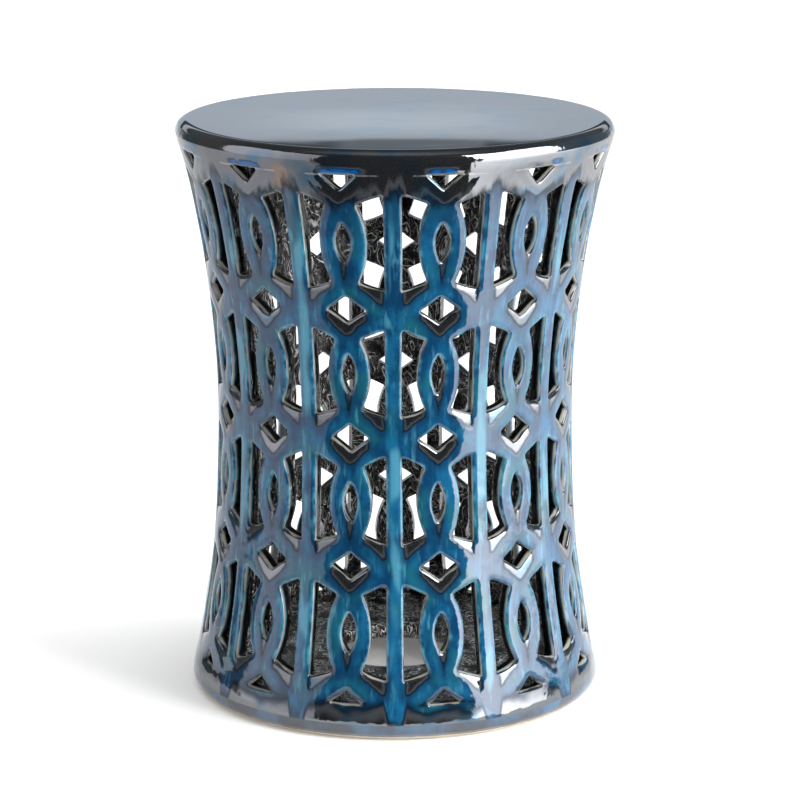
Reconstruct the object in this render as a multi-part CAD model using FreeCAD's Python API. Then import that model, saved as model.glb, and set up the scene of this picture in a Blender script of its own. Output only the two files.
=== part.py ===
import FreeCAD, Part
import math
import os

V = FreeCAD.Vector

# ---------------------------------------------------------------- dimensions
# Openwork ceramic garden stool. Millimetres, +Z up, the origin on the floor at
# the centre of the foot. The front of the stool is -Y, and the middle of one
# upright bar faces it.
HEIGHT = 457.0            # floor to the top of the seat
REPEATS = 13              # upright bars round the drum
TIERS = 4                 # rows of eyes
TIER_PITCH = 100.0        # height of one row
TIER_BASE = 32.5          # where the lowest row's repeat begins

# outer profile of the drum: heights and radii, flared at the top and the foot
PROFILE_Z = [4.0, 12.0, 35.0, 60.0, 90.0, 120.0, 150.0, 180.0, 210.0, 240.0,
             270.0, 300.0, 330.0, 360.0, 385.0, 410.0, 430.0, 441.0, 448.0]
PROFILE_R = [164.3, 163.5, 159.0, 154.9, 150.0, 146.1, 143.7, 142.4, 141.4, 141.2,
             142.3, 144.7, 148.0, 152.2, 156.7, 161.7, 166.9, 170.0, 171.6]

WALL = 12.0               # drum wall, measured along the radius
SEAT_Z = 443.0            # underside of the seat, where it sits on the shoulder band
SEAT_ROUND = 9.0          # rounding of the seat's edge
SHOULDER_Z = 425.0        # foot of the plain shoulder band
BASE_BAND_Z = 42.0        # head of the plain base band
SLAB_Z = 26.0             # top of the floor slab
SLAB_UNDER_Z = 13.0       # underside of the floor slab
SLAB_HOLE_R = 52.0        # round opening in the floor slab
FOOT_ROUND = 10.0         # rounding of the foot's outer edge
FOOT_IN_R = 143.0         # inner radius of the foot ring

BAR_HALF_DEG = 2.55       # half width of an upright bar, seen from the axis
LENS_HALF_DEG = 2.15      # half width of the eye opening
LENS_HALF_Z = 15.5        # half height of the eye opening
DIAMOND_HALF_DEG = 6.05   # half width of the diamond opening
DIAMOND_UP = 11.0         # diamond above the row line
DIAMOND_DOWN = 10.8       # diamond below the row line
TOP_TRI = (438.0, 426.5, 4.4)      # top edge, lowest point, half width in degrees
BASE_TRI = (39.0, 27.2, 4.5)       # apex, bottom edge, half width in degrees

# side openings of each row, lowest row first. Heights are from the middle of
# the row; angles are from the middle of the bar beside the opening.
#        top at bar, top corner (angle, z), waist (angle, z), low corner (angle, z), foot at bar
SIDE = [
    (37.9, (9.93, 27.9), (7.13, 0.5), (9.77, -29.9), -38.3),
    (37.6, (9.70, 27.5), (7.05, 3.0), (9.66, -26.5), -33.6),
    (36.9, (9.89, 26.7), (7.21, -0.5), (9.81, -27.5), -34.0),
    (41.1, (9.77, 32.7), (7.17, 5.0), (9.77, -28.2), -35.1),
]
LENS_MID = [-0.7, 0.5, 0.0, 3.0]     # middle of the eye above the middle of the row

STEP = 360.0 / REPEATS
FRONT = -90.0             # azimuth of the front bar, degrees from +X


def outer_r(z):
    """Radius of the drum's outer face at height z, between the profile's points."""
    zs, rs = PROFILE_Z, PROFILE_R
    z = min(max(z, zs[0]), zs[-1])
    i = 0
    while i < len(zs) - 2 and z > zs[i + 1]:
        i += 1
    h = zs[i + 1] - zs[i]
    t = (z - zs[i]) / h

    def slope(k):
        if k == 0:
            return (rs[1] - rs[0]) / (zs[1] - zs[0])
        if k == len(zs) - 1:
            return (rs[-1] - rs[-2]) / (zs[-1] - zs[-2])
        return (rs[k + 1] - rs[k - 1]) / (zs[k + 1] - zs[k - 1])

    a, b = slope(i) * h, slope(i + 1) * h
    return ((2 * t ** 3 - 3 * t ** 2 + 1) * rs[i] + (t ** 3 - 2 * t ** 2 + t) * a
            + (-2 * t ** 3 + 3 * t ** 2) * rs[i + 1] + (t ** 3 - t ** 2) * b)


def profile_edge(z0, z1, offset=0.0):
    """Smooth edge of the drum's profile in the XZ plane, from z0 to z1."""
    n = max(4, int(abs(z1 - z0) / 14.0) + 2)
    pts = [V(outer_r(z0 + (z1 - z0) * k / (n - 1)) - offset, 0,
             z0 + (z1 - z0) * k / (n - 1)) for k in range(n)]
    curve = Part.BSplineCurve()
    curve.interpolate(pts)
    return curve.toShape()


def line(a, b):
    return Part.LineSegment(a, b).toShape()


def ends(edge):
    p, q = edge.valueAt(edge.FirstParameter), edge.valueAt(edge.LastParameter)
    return p, q


def wall_face(z0, z1):
    """Section of the drum's wall between two heights."""
    out = profile_edge(z0, z1)
    inn = profile_edge(z0, z1, WALL)
    o0, o1 = ends(out)
    i0, i1 = ends(inn)
    wire = Part.Wire(Part.__sortEdges__([out, line(o1, i1), inn, line(i0, o0)]))
    return Part.Face(wire)


def turned(face, start_deg, sweep_deg):
    """Turn a section about +Z, from start_deg through sweep_deg."""
    face = face.copy()
    if start_deg:
        face.rotate(V(0, 0, 0), V(0, 0, 1), start_deg)
    return face.revolve(V(0, 0, 0), V(0, 0, 1), sweep_deg)


def chart(points, mid_deg):
    """Points (degrees from mid_deg, z) on the outer face, as the distances
    across and up in the plane that faces the direction mid_deg."""
    return [V(0, outer_r(z) * math.sin(math.radians(a - mid_deg)), z) for a, z in points]


def radial_cutter(edges_2d, mid_deg):
    """Prism through the wall: an outline in the YZ plane, pushed out along +X
    and turned to the direction mid_deg."""
    wire = Part.Wire(edges_2d)
    face = Part.Face(wire)
    prism = face.extrude(V(90, 0, 0))
    prism.translate(V(105, 0, 0))
    prism.rotate(V(0, 0, 0), V(0, 0, 1), mid_deg)
    return prism


def polygon(points, mid_deg):
    p = chart(points, mid_deg)
    return radial_cutter([line(p[k], p[(k + 1) % len(p)]) for k in range(len(p))], mid_deg)


def side_cutter(tier, sign):
    """Opening between a bar and the eye band beside it. sign +1 is the opening
    on the bar's counter-clockwise side, -1 the one that faces it across the eye."""
    zm = TIER_BASE + TIER_PITCH * (tier + 0.5)
    top, tc, waist, lc, foot = SIDE[tier]
    inside = 1.2                       # the outline runs on past the bar's flank
    mid = 5.6
    if sign > 0:
        f = lambda a: a
    else:
        f = lambda a: STEP - a
        mid = STEP - mid
    pts = [(f(inside), zm + top), (f(tc[0]), zm + tc[1]), (f(waist[0]), zm + waist[1]),
           (f(lc[0]), zm + lc[1]), (f(inside), zm + foot)]
    p = chart(pts, mid)
    edges = [line(p[0], p[1]), Part.Arc(p[1], p[2], p[3]).toShape(),
             line(p[3], p[4]), line(p[4], p[0])]
    return radial_cutter(edges, mid)


def lens_cutter(tier):
    zm = TIER_BASE + TIER_PITCH * (tier + 0.5) + LENS_MID[tier]
    mid = STEP / 2
    p = chart([(mid, zm + LENS_HALF_Z), (mid + LENS_HALF_DEG, zm),
               (mid, zm - LENS_HALF_Z), (mid - LENS_HALF_DEG, zm)], mid)
    edges = [Part.Arc(p[0], p[1], p[2]).toShape(), Part.Arc(p[2], p[3], p[0]).toShape()]
    return radial_cutter(edges, mid)


def diamond_cutter(row):
    zr = TIER_BASE + TIER_PITCH * row
    mid = STEP / 2
    return polygon([(mid, zr + DIAMOND_UP), (mid + DIAMOND_HALF_DEG, zr),
                    (mid, zr - DIAMOND_DOWN), (mid - DIAMOND_HALF_DEG, zr)], mid)


def ring_of(shape):
    """The same piece at every repeat, as separate solids in one compound."""
    out = []
    for k in range(REPEATS):
        s = shape.copy()
        s.rotate(V(0, 0, 0), V(0, 0, 1), FRONT + STEP * k)
        out.append(s)
    return Part.makeCompound(out)


def solid_of(shape):
    s = shape.Solids[0] if len(shape.Solids) == 1 else shape
    assert s.isValid(), "invalid solid"
    return s


parts = {}

# ---------------------------------------------------------------- seat
# Round slab with a rounded edge. It sits on the head of the shoulder band.
r_max = outer_r(448.0)
r_flat = r_max - SEAT_ROUND
edge_up = profile_edge(SEAT_Z, 448.0)
e0, e1 = ends(edge_up)
s45 = math.sqrt(0.5)
corner = V(r_flat, 0, HEIGHT - SEAT_ROUND)
rim = Part.Arc(e1, V(corner.x + SEAT_ROUND * s45, 0, corner.z + SEAT_ROUND * s45),
               V(r_flat, 0, HEIGHT)).toShape()
seat_edges = [
    edge_up, rim,
    line(V(r_flat, 0, HEIGHT), V(0, 0, HEIGHT)),
    line(V(0, 0, HEIGHT), V(0, 0, SEAT_Z)),
    line(V(0, 0, SEAT_Z), e0),
]
seat = Part.Face(Part.Wire(Part.__sortEdges__(seat_edges))).revolve(V(0, 0, 0), V(0, 0, 1), 360)
parts["seat_slab"] = solid_of(seat)

# ---------------------------------------------------------------- shoulder band
# Plain ring under the seat, pierced by a small triangle over each eye.
band = turned(wall_face(SHOULDER_Z, SEAT_Z), 0, 360)
mid = STEP / 2
cut = ring_of(polygon([(mid - TOP_TRI[2], TOP_TRI[0]), (mid + TOP_TRI[2], TOP_TRI[0]),
                       (mid, TOP_TRI[1])], mid))
parts["shoulder_band"] = solid_of(band.cut(cut))

# ---------------------------------------------------------------- upright bars
# Thirteen curved bars from the base band to the shoulder band.
bar = turned(wall_face(BASE_BAND_Z, SHOULDER_Z), -BAR_HALF_DEG, 2 * BAR_HALF_DEG)
parts["upright_bars"] = ring_of(solid_of(bar))

# ---------------------------------------------------------------- eye bands
# Between two bars: two crossing bands that part round a pointed eye. They
# meet the bars above and below, and leave half a diamond at each row line.
names = ["eye_bands_lowest", "eye_bands_lower", "eye_bands_upper", "eye_bands_highest"]
for tier in range(TIERS):
    z0 = TIER_BASE + TIER_PITCH * tier
    z1 = z0 + TIER_PITCH
    if tier == 0:
        z0 = BASE_BAND_Z
    if tier == TIERS - 1:
        z1 = SHOULDER_Z
    piece = turned(wall_face(z0, z1), BAR_HALF_DEG, STEP - 2 * BAR_HALF_DEG)
    cutters = [side_cutter(tier, 1), side_cutter(tier, -1), lens_cutter(tier)]
    if tier > 0:
        cutters.append(diamond_cutter(tier))
    if tier < TIERS - 1:
        cutters.append(diamond_cutter(tier + 1))
    for c in cutters:
        piece = piece.cut(c)
    parts[names[tier]] = ring_of(solid_of(piece))

# ---------------------------------------------------------------- base band
# Plain ring that stands on the floor slab, pierced by a small triangle under
# each eye.
band = turned(wall_face(SLAB_Z, BASE_BAND_Z), 0, 360)
cut = ring_of(polygon([(mid - BASE_TRI[2], BASE_TRI[1]), (mid + BASE_TRI[2], BASE_TRI[1]),
                       (mid, BASE_TRI[0])], mid))
parts["base_band"] = solid_of(band.cut(cut))

# ---------------------------------------------------------------- floor slab
# Slab that closes the foot of the drum, with a round opening in the middle.
out = profile_edge(SLAB_UNDER_Z, SLAB_Z)
o0, o1 = ends(out)
slab_edges = [out, line(o1, V(SLAB_HOLE_R, 0, SLAB_Z)),
              line(V(SLAB_HOLE_R, 0, SLAB_Z), V(SLAB_HOLE_R, 0, SLAB_UNDER_Z)),
              line(V(SLAB_HOLE_R, 0, SLAB_UNDER_Z), o0)]
slab = Part.Face(Part.Wire(Part.__sortEdges__(slab_edges))).revolve(V(0, 0, 0), V(0, 0, 1), 360)
parts["floor_slab"] = solid_of(slab)

# ---------------------------------------------------------------- foot ring
# Coil under the slab's edge. Its underside is bare clay and stands on the floor.
r_join = outer_r(SLAB_UNDER_Z)
r_foot = r_join + 0.15 - FOOT_ROUND
c = V(r_foot, 0, FOOT_ROUND)
foot_edges = [
    line(V(FOOT_IN_R, 0, 0), V(r_foot, 0, 0)),
    Part.Arc(V(r_foot, 0, 0), V(c.x + FOOT_ROUND * s45, 0, c.z - FOOT_ROUND * s45),
             V(c.x + FOOT_ROUND, 0, c.z)).toShape(),
    line(V(c.x + FOOT_ROUND, 0, c.z), V(r_join, 0, SLAB_UNDER_Z)),
    line(V(r_join, 0, SLAB_UNDER_Z), V(FOOT_IN_R, 0, SLAB_UNDER_Z)),
    line(V(FOOT_IN_R, 0, SLAB_UNDER_Z), V(FOOT_IN_R, 0, 0)),
]
foot = Part.Face(Part.Wire(Part.__sortEdges__(foot_edges))).revolve(V(0, 0, 0), V(0, 0, 1), 360)
parts["foot_ring"] = solid_of(foot)

# ---------------------------------------------------------------- files
os.makedirs("parts", exist_ok=True)
for name, shape in parts.items():
    shape.exportStep("parts/%s.step" % name)
    bb = shape.BoundBox
    print("%-20s solids %2d  valid %s  volume %.1f cm3  z %.1f..%.1f  r %.1f"
          % (name, len(shape.Solids), shape.isValid(), shape.Volume / 1000.0,
             bb.ZMin, bb.ZMax, max(bb.XMax, bb.YMax)))
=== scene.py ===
import math

import bpy
import numpy as np
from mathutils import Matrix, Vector
from mathutils.geometry import delaunay_2d_cdt


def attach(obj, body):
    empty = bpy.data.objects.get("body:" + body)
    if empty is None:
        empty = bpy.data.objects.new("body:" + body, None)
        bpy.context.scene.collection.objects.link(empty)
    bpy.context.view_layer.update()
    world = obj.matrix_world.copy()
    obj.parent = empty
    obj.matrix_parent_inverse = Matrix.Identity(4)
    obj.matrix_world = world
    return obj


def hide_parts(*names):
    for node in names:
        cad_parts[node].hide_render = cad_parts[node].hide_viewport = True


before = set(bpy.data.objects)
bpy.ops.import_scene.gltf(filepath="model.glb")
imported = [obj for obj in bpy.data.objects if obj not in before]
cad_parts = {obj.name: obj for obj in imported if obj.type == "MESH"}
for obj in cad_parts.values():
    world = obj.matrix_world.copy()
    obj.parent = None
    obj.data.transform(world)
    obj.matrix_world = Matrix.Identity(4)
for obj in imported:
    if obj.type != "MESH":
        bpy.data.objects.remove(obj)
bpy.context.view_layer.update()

# ------------------------------------------------------------------ dimensions
# Millimetres, the same numbers as the solid parts. The front bar faces -Y.
REPEATS = 13
TIERS = 4
TIER_PITCH, TIER_BASE = 100.0, 32.5
PROFILE_Z = np.array([4.0, 12.0, 35.0, 60.0, 90.0, 120.0, 150.0, 180.0, 210.0, 240.0,
                      270.0, 300.0, 330.0, 360.0, 385.0, 410.0, 430.0, 441.0, 448.0])
PROFILE_R = np.array([164.3, 163.5, 159.0, 154.9, 150.0, 146.1, 143.7, 142.4, 141.4, 141.2,
                      142.3, 144.7, 148.0, 152.2, 156.7, 161.7, 166.9, 170.0, 171.6])
HEIGHT, SEAT_Z, SEAT_ROUND = 457.0, 443.0, 9.0
SHOULDER_Z, BASE_BAND_Z = 425.0, 42.0
SLAB_Z, SLAB_UNDER_Z, SLAB_HOLE_R = 26.0, 13.0, 52.0
FOOT_ROUND, FOOT_IN_R = 10.0, 143.0
WALL = 12.0
BAR_HALF = 2.55
LENS_HALF, LENS_HALF_Z = 2.15, 15.5
SIDE = [
    (37.9, (9.93, 27.9), (7.13, 0.5), (9.77, -29.9), -38.3),
    (37.6, (9.70, 27.5), (7.05, 3.0), (9.66, -26.5), -33.6),
    (36.9, (9.89, 26.7), (7.21, -0.5), (9.81, -27.5), -34.0),
    (41.1, (9.77, 32.7), (7.17, 5.0), (9.77, -28.2), -35.1),
]
LENS_MID = [-0.7, 0.5, 0.0, 3.0]
DIAMOND_HALF, DIAMOND_UP, DIAMOND_DOWN = 6.05, 11.0, 10.8
STEP = 360.0 / REPEATS
FRONT = -90.0
S = 2.53                   # chart millimetres for one degree round the drum
U = STEP / 2 * S           # half of one repeat, from the eye's middle to a bar's middle

RELIEF = 1.15              # how far the flats lie below the raised bands
ROUND_W = 6.5              # width of the rounding along each band's edge
SUNK = 0.38                # extra depth of the flats

rng = np.random.default_rng(7473)


def outer_r(z):
    z = np.clip(np.asarray(z, float), PROFILE_Z[0], PROFILE_Z[-1])
    i = np.clip(np.searchsorted(PROFILE_Z, z, side="left") - 1, 0, len(PROFILE_Z) - 2)
    sl = np.empty(len(PROFILE_Z))
    sl[1:-1] = (PROFILE_R[2:] - PROFILE_R[:-2]) / (PROFILE_Z[2:] - PROFILE_Z[:-2])
    sl[0] = (PROFILE_R[1] - PROFILE_R[0]) / (PROFILE_Z[1] - PROFILE_Z[0])
    sl[-1] = (PROFILE_R[-1] - PROFILE_R[-2]) / (PROFILE_Z[-1] - PROFILE_Z[-2])
    h = PROFILE_Z[i + 1] - PROFILE_Z[i]
    t = (z - PROFILE_Z[i]) / h
    a, b = sl[i] * h, sl[i + 1] * h
    return ((2 * t ** 3 - 3 * t ** 2 + 1) * PROFILE_R[i] + (t ** 3 - 2 * t ** 2 + t) * a
            + (-2 * t ** 3 + 3 * t ** 2) * PROFILE_R[i + 1] + (t ** 3 - t ** 2) * b)


def smooth(t):
    t = np.clip(t, 0.0, 1.0)
    return t * t * (3 - 2 * t)


TABLE = rng.uniform(-1, 1, (48, 48, 48))


def noise(P, scale, shift=0.0):
    """Smooth value noise, -1 to 1, at points in millimetres. scale is a number or one for each axis."""
    q = P / np.asarray(scale, float) + 100.37 + shift
    i = np.floor(q).astype(int)
    f = q - i
    f = f * f * (3 - 2 * f)
    out = 0.0
    for dx in (0, 1):
        for dy in (0, 1):
            for dz in (0, 1):
                w = ((f[:, 0] if dx else 1 - f[:, 0]) * (f[:, 1] if dy else 1 - f[:, 1])
                     * (f[:, 2] if dz else 1 - f[:, 2]))
                out = out + w * TABLE[(i[:, 0] + dx) % 48, (i[:, 1] + dy) % 48, (i[:, 2] + dz) % 48]
    return out


# ------------------------------------------------------------------ outlines in the chart
def dense(path, ds=0.3):
    """A closed polyline resampled at equal steps."""
    P = np.asarray(path, float)
    Q = np.vstack([P, P[:1]])
    s = np.concatenate([[0], np.cumsum(np.hypot(*np.diff(Q, axis=0).T))])
    n = max(12, int(round(s[-1] / ds)))
    t = np.arange(n) * s[-1] / n
    return np.stack([np.interp(t, s, Q[:, 0]), np.interp(t, s, Q[:, 1])], 1)


def soften(P, corners, base=0.35):
    """Rounds the corners of a dense closed outline. corners are (x, y, amount)."""
    n = len(P)
    ds = np.hypot(*(P[1] - P[0]))
    sig = np.full(n, base)
    for x, y, a in corners:
        d = np.hypot(P[:, 0] - x, P[:, 1] - y)
        sig = np.maximum(sig, base + (a - base) * np.exp(-(d / (2.6 * a)) ** 2))
    k = np.arange(n)
    dk = np.abs(k[:, None] - k[None])
    dk = np.minimum(dk, n - dk) * ds
    W = np.exp(-dk ** 2 / (2 * sig[:, None] ** 2))
    return (W / W.sum(1, keepdims=True)) @ P


def bowed(a, b, bow, n=12):
    """Points from a to b along a shallow bow."""
    a, b = np.array(a, float), np.array(b, float)
    t = np.linspace(0, 1, n)[:, None]
    d = b - a
    nrm = np.array([d[1], -d[0]]) / np.hypot(*d)
    return a + d * t + nrm * bow * 4 * t * (1 - t)


def arc3(a, b, c, n=60):
    """Points of the circle's arc from a to c through b."""
    ax, ay, bx, by, cx, cy = *a, *b, *c
    d = 2 * (ax * (by - cy) + bx * (cy - ay) + cx * (ay - by))
    ux = ((ax ** 2 + ay ** 2) * (by - cy) + (bx ** 2 + by ** 2) * (cy - ay) + (cx ** 2 + cy ** 2) * (ay - by)) / d
    uy = ((ax ** 2 + ay ** 2) * (cx - bx) + (bx ** 2 + by ** 2) * (ax - cx) + (cx ** 2 + cy ** 2) * (bx - ax)) / d
    r = math.hypot(ax - ux, ay - uy)
    t0, t1, t2 = (math.atan2(p[1] - uy, p[0] - ux) for p in (a, b, c))

    def near(t, ref):
        while t - ref > math.pi:
            t -= 2 * math.pi
        while t - ref < -math.pi:
            t += 2 * math.pi
        return t
    t1 = near(t1, t0)
    t2 = near(t2, t1)
    t = np.linspace(t0, t2, n)
    return np.stack([ux + r * np.cos(t), uy + r * np.sin(t)], 1)


def anticlockwise(P):
    x, y = P[:, 0], P[:, 1]
    area = 0.5 * np.sum(x * np.roll(y, -1) - np.roll(x, -1) * y)
    return P if area > 0 else P[::-1].copy()


holes = []                 # dicts: fine outline, middle (u), exact side heights, name
grounds = []               # outlines of the sunk flats
for tier in range(TIERS):
    zm = TIER_BASE + TIER_PITCH * (tier + 0.5)
    top, tc, waist, lc, foot = SIDE[tier]
    for sign in (-1, 1):
        f = lambda a: sign * (STEP / 2 - a) * S * 1.0
        ta = (BAR_HALF - 1.2) / (tc[0] - 1.2)
        fa = (BAR_HALF - 1.2) / (lc[0] - 1.2)
        A = (f(BAR_HALF), zm + top + (tc[1] - top) * ta)
        B = (f(tc[0]), zm + tc[1])
        W_ = (f(waist[0]), zm + waist[1])
        C = (f(lc[0]), zm + lc[1])
        D = (f(BAR_HALF), zm + foot + (lc[1] - foot) * fa)
        bow = 0.7 * sign
        path = np.vstack([bowed(A, B, bow * 0.5)[:-1], arc3(B, W_, C)[:-1], bowed(C, D, bow)[:-1],
                          np.array([D, A])[:1]])
        P = soften(dense(path), [(*A, 1.8), (*B, 1.3), (*C, 1.35), (*D, 1.05)])
        holes.append({"P": anticlockwise(P), "um": f(5.6), "row": None})
        T = (D[0] - sign * 1.2, D[1] - 11.5)
        g = np.vstack([np.array([(C[0], C[1] + 1.0), (C[0] - sign * 0.6, C[1] - 4.0)]),
                       bowed((C[0] - sign * 0.2, C[1] - 4.6), (D[0] - sign * 3.4, T[1] + 0.6), -sign * 0.7)[:-1],
                       np.array([(D[0] - sign * 3.0, T[1]), T, (T[0] + sign * 0.9, T[1] + 3.0), (T[0] + sign * 1.2, D[1] + 4.0), (f(5.0), D[1] + 6.0)])])
        grounds.append(anticlockwise(soften(dense(g, 0.5), [(D[0] - sign * 3.2, T[1], 1.8), (*T, 1.6)], 0.9)))
    zl = zm + LENS_MID[tier]
    w = LENS_HALF * S
    P = np.vstack([arc3((0, zl + LENS_HALF_Z), (w, zl), (0, zl - LENS_HALF_Z))[:-1],
                   arc3((0, zl - LENS_HALF_Z), (-w, zl), (0, zl + LENS_HALF_Z))[:-1]])
    P = soften(dense(P), [(0, zl + LENS_HALF_Z, 0.7), (0, zl - LENS_HALF_Z, 1.0)])
    holes.append({"P": anticlockwise(P), "um": 0.0, "row": None})
    zb = zl - LENS_HALF_Z
    g = np.array([(-2.9, zb + 4.5), (-3.1, zb + 0.5), (0, zb - 17.5), (3.1, zb + 0.5), (2.9, zb + 4.5), (0, zb + 7.0)])
    grounds.append(anticlockwise(soften(dense(g, 0.5), [(0, zb - 17.5, 1.2)], 0.8)))
for row in range(1, TIERS):
    zr = TIER_BASE + TIER_PITCH * row
    w = DIAMOND_HALF * S
    up, dn = DIAMOND_UP, DIAMOND_DOWN
    path = np.vstack([bowed((0, zr + up), (-w, zr), -0.35)[:-1], bowed((-w, zr), (0, zr - dn), -0.2)[:-1],
                      bowed((0, zr - dn), (w, zr), -0.2)[:-1], bowed((w, zr), (0, zr + up), -0.35)[:-1]])
    P = soften(dense(path), [(0, zr + up, 1.3), (-w, zr, 1.1), (0, zr - dn, 1.2), (w, zr, 1.1)])
    holes.append({"P": anticlockwise(P), "um": 0.0, "row": zr})
    g = np.array([(0, zr + 9.0), (-w + 0.6, zr - 0.6), (-w - 1.6, zr - 5.6), (-w * 0.45, zr - 15.6), (0, zr - 21.8),
                  (w * 0.45, zr - 15.6), (w + 1.6, zr - 5.6), (w - 0.6, zr - 0.6)])
    grounds.append(anticlockwise(soften(dense(g, 0.5), [(0, zr - 21.8, 2.2), (-w - 1.6, zr - 5.6, 1.8), (w + 1.6, zr - 5.6, 1.8)], 1.2)))
# small triangle over each eye, under the seat
w = 4.4 * S
path = np.array([(-w, 438.0), (0, 426.5), (w, 438.0)])
P = soften(dense(path), [(-w, 438, 0.8), (0, 426.5, 1.2), (w, 438, 0.8)])
holes.append({"P": anticlockwise(P), "um": 0.0, "row": None})
g = np.vstack([np.array([(-24.6, 438.9)]), bowed((-24.2, 437.7), (0, 414.0), 1.9)[:-1],
               bowed((0, 414.0), (24.2, 437.7), 1.9), np.array([(24.6, 438.9)])])
grounds.append(anticlockwise(soften(dense(g, 0.5), [(0, 414.0, 1.6)], 0.5)))
# small triangle under each eye, at the base
w = 4.5 * S
path = np.vstack([bowed((0, 39.0), (-w, 28.0), -0.7)[:-1], bowed((-w, 28.0), (w, 28.0), 0.5)[:-1],
                  bowed((w, 28.0), (0, 39.0), -0.7)[:-1]])
P = soften(dense(path), [(0, 39.0, 1.3), (-w, 28.0, 0.9), (w, 28.0, 0.9)])
holes.append({"P": anticlockwise(P), "um": 0.0, "row": None})
g = np.vstack([bowed((0, 40.2), (-22.0, 27.4), -1.6)[:-1], bowed((-22.0, 27.4), (0, 27.6), 0.0)[:-1],
               bowed((0, 27.6), (22.0, 27.4), 0.0)[:-1], bowed((22.0, 27.4), (0, 40.2), -1.6)[:-1]])
grounds.append(anticlockwise(soften(dense(g, 0.5), [(0, 40.2, 1.2)], 0.5)))


def inside(P, poly):
    """Which points lie in a closed polygon."""
    a, b = poly, np.roll(poly, -1, 0)
    x, y = P[:, 0][:, None], P[:, 1][:, None]
    cond = (a[:, 1] > y) != (b[:, 1] > y)
    dy = b[:, 1] - a[:, 1]
    xi = a[:, 0] + (y - a[:, 1]) * (b[:, 0] - a[:, 0]) / np.where(np.abs(dy) < 1e-12, 1e-12, dy)
    return (np.sum(cond & (x < xi), 1) % 2) == 1


def signed(P, poly, reach=8.0):
    """Distance from each point to a closed polygon, negative inside it. Points further than reach get reach."""
    out = np.full(len(P), reach)
    lo, hi = poly.min(0) - reach, poly.max(0) + reach
    near = np.where(((P > lo) & (P < hi)).all(1))[0]
    a, b = poly, np.roll(poly, -1, 0)
    ab = b - a
    L2 = (ab ** 2).sum(1)
    for c in range(0, len(near), 1500):
        ids = near[c:c + 1500]
        ap = P[ids][:, None] - a[None]
        t = np.clip((ap * ab).sum(-1) / L2, 0, 1)
        d = np.sqrt(((ap - t[..., None] * ab) ** 2).sum(-1)).min(1)
        ins = inside(P[ids], poly)
        out[ids] = np.where(ins, -d, np.minimum(d, reach))
    return out


# every third point is enough for distances
hole_polys = [h["P"][::3] for h in holes]


def cells(P):
    """For points of the chart: distance to the nearest hole and to the nearest sunk flat."""
    dh = np.full(len(P), 12.0)
    for poly in hole_polys:
        dh = np.minimum(dh, signed(P, poly, 12.0))
    dg = np.full(len(P), 16.0)
    for poly in grounds:
        dg = np.minimum(dg, signed(P, poly, 16.0))
    return dh, dg


def loop_points(h):
    """Coarse loop of a hole with closer points at its corners, and its outward normals."""
    P = h["P"]
    n = len(P)
    ds = np.hypot(*(P[1:] - P[:-1]).T).mean()
    T = np.roll(P, -3, 0) - np.roll(P, 3, 0)
    ang = np.unwrap(np.arctan2(T[:, 1], T[:, 0]))
    turn = np.abs(np.roll(ang, -3) - np.roll(ang, 3))
    turn = np.where(turn > math.pi, np.abs(turn - 2 * math.pi), turn) / (6 * ds)
    turn = np.convolve(np.concatenate([turn[-6:], turn, turn[:6]]), np.ones(7) / 7, "same")[6:-6]
    step = np.clip(0.42 / np.maximum(turn, 1e-3), 0.75, 1.75)
    q = np.concatenate([[0], np.cumsum(ds / step)])
    m = int(math.ceil(q[-1]))
    t = np.interp(np.arange(m) * q[-1] / m, q, np.arange(n + 1))
    Q = np.vstack([P, P[:1]])
    c = np.stack([np.interp(t, np.arange(n + 1), Q[:, 0]), np.interp(t, np.arange(n + 1), Q[:, 1])], 1)
    Tn = np.vstack([T, T[:1]])
    d = np.stack([np.interp(t, np.arange(n + 1), Tn[:, 0]), np.interp(t, np.arange(n + 1), Tn[:, 1])], 1)
    d /= np.hypot(*d.T)[:, None]
    nrm = np.stack([d[:, 1], -d[:, 0]], 1)
    h["side"] = ()
    if h["row"] is not None:   # a vertex exactly on the row's line at both sides
        sides = []
        for sg in (-1, 1):
            k = int(np.argmax(sg * c[:, 0]))
            c[k] = (sg * np.max(sg * P[:, 0]), h["row"])
            nrm[k] = (sg, 0)
            sides.append(k)
        h["side"] = tuple(sides)
    return c, nrm


for h in holes:
    h["c"], h["n"] = loop_points(h)

LINES = [BASE_BAND_Z] + [TIER_BASE + TIER_PITCH * k for k in (1, 2, 3)] + [SHOULDER_Z]
Z0, Z1 = SLAB_Z, SEAT_Z


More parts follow.
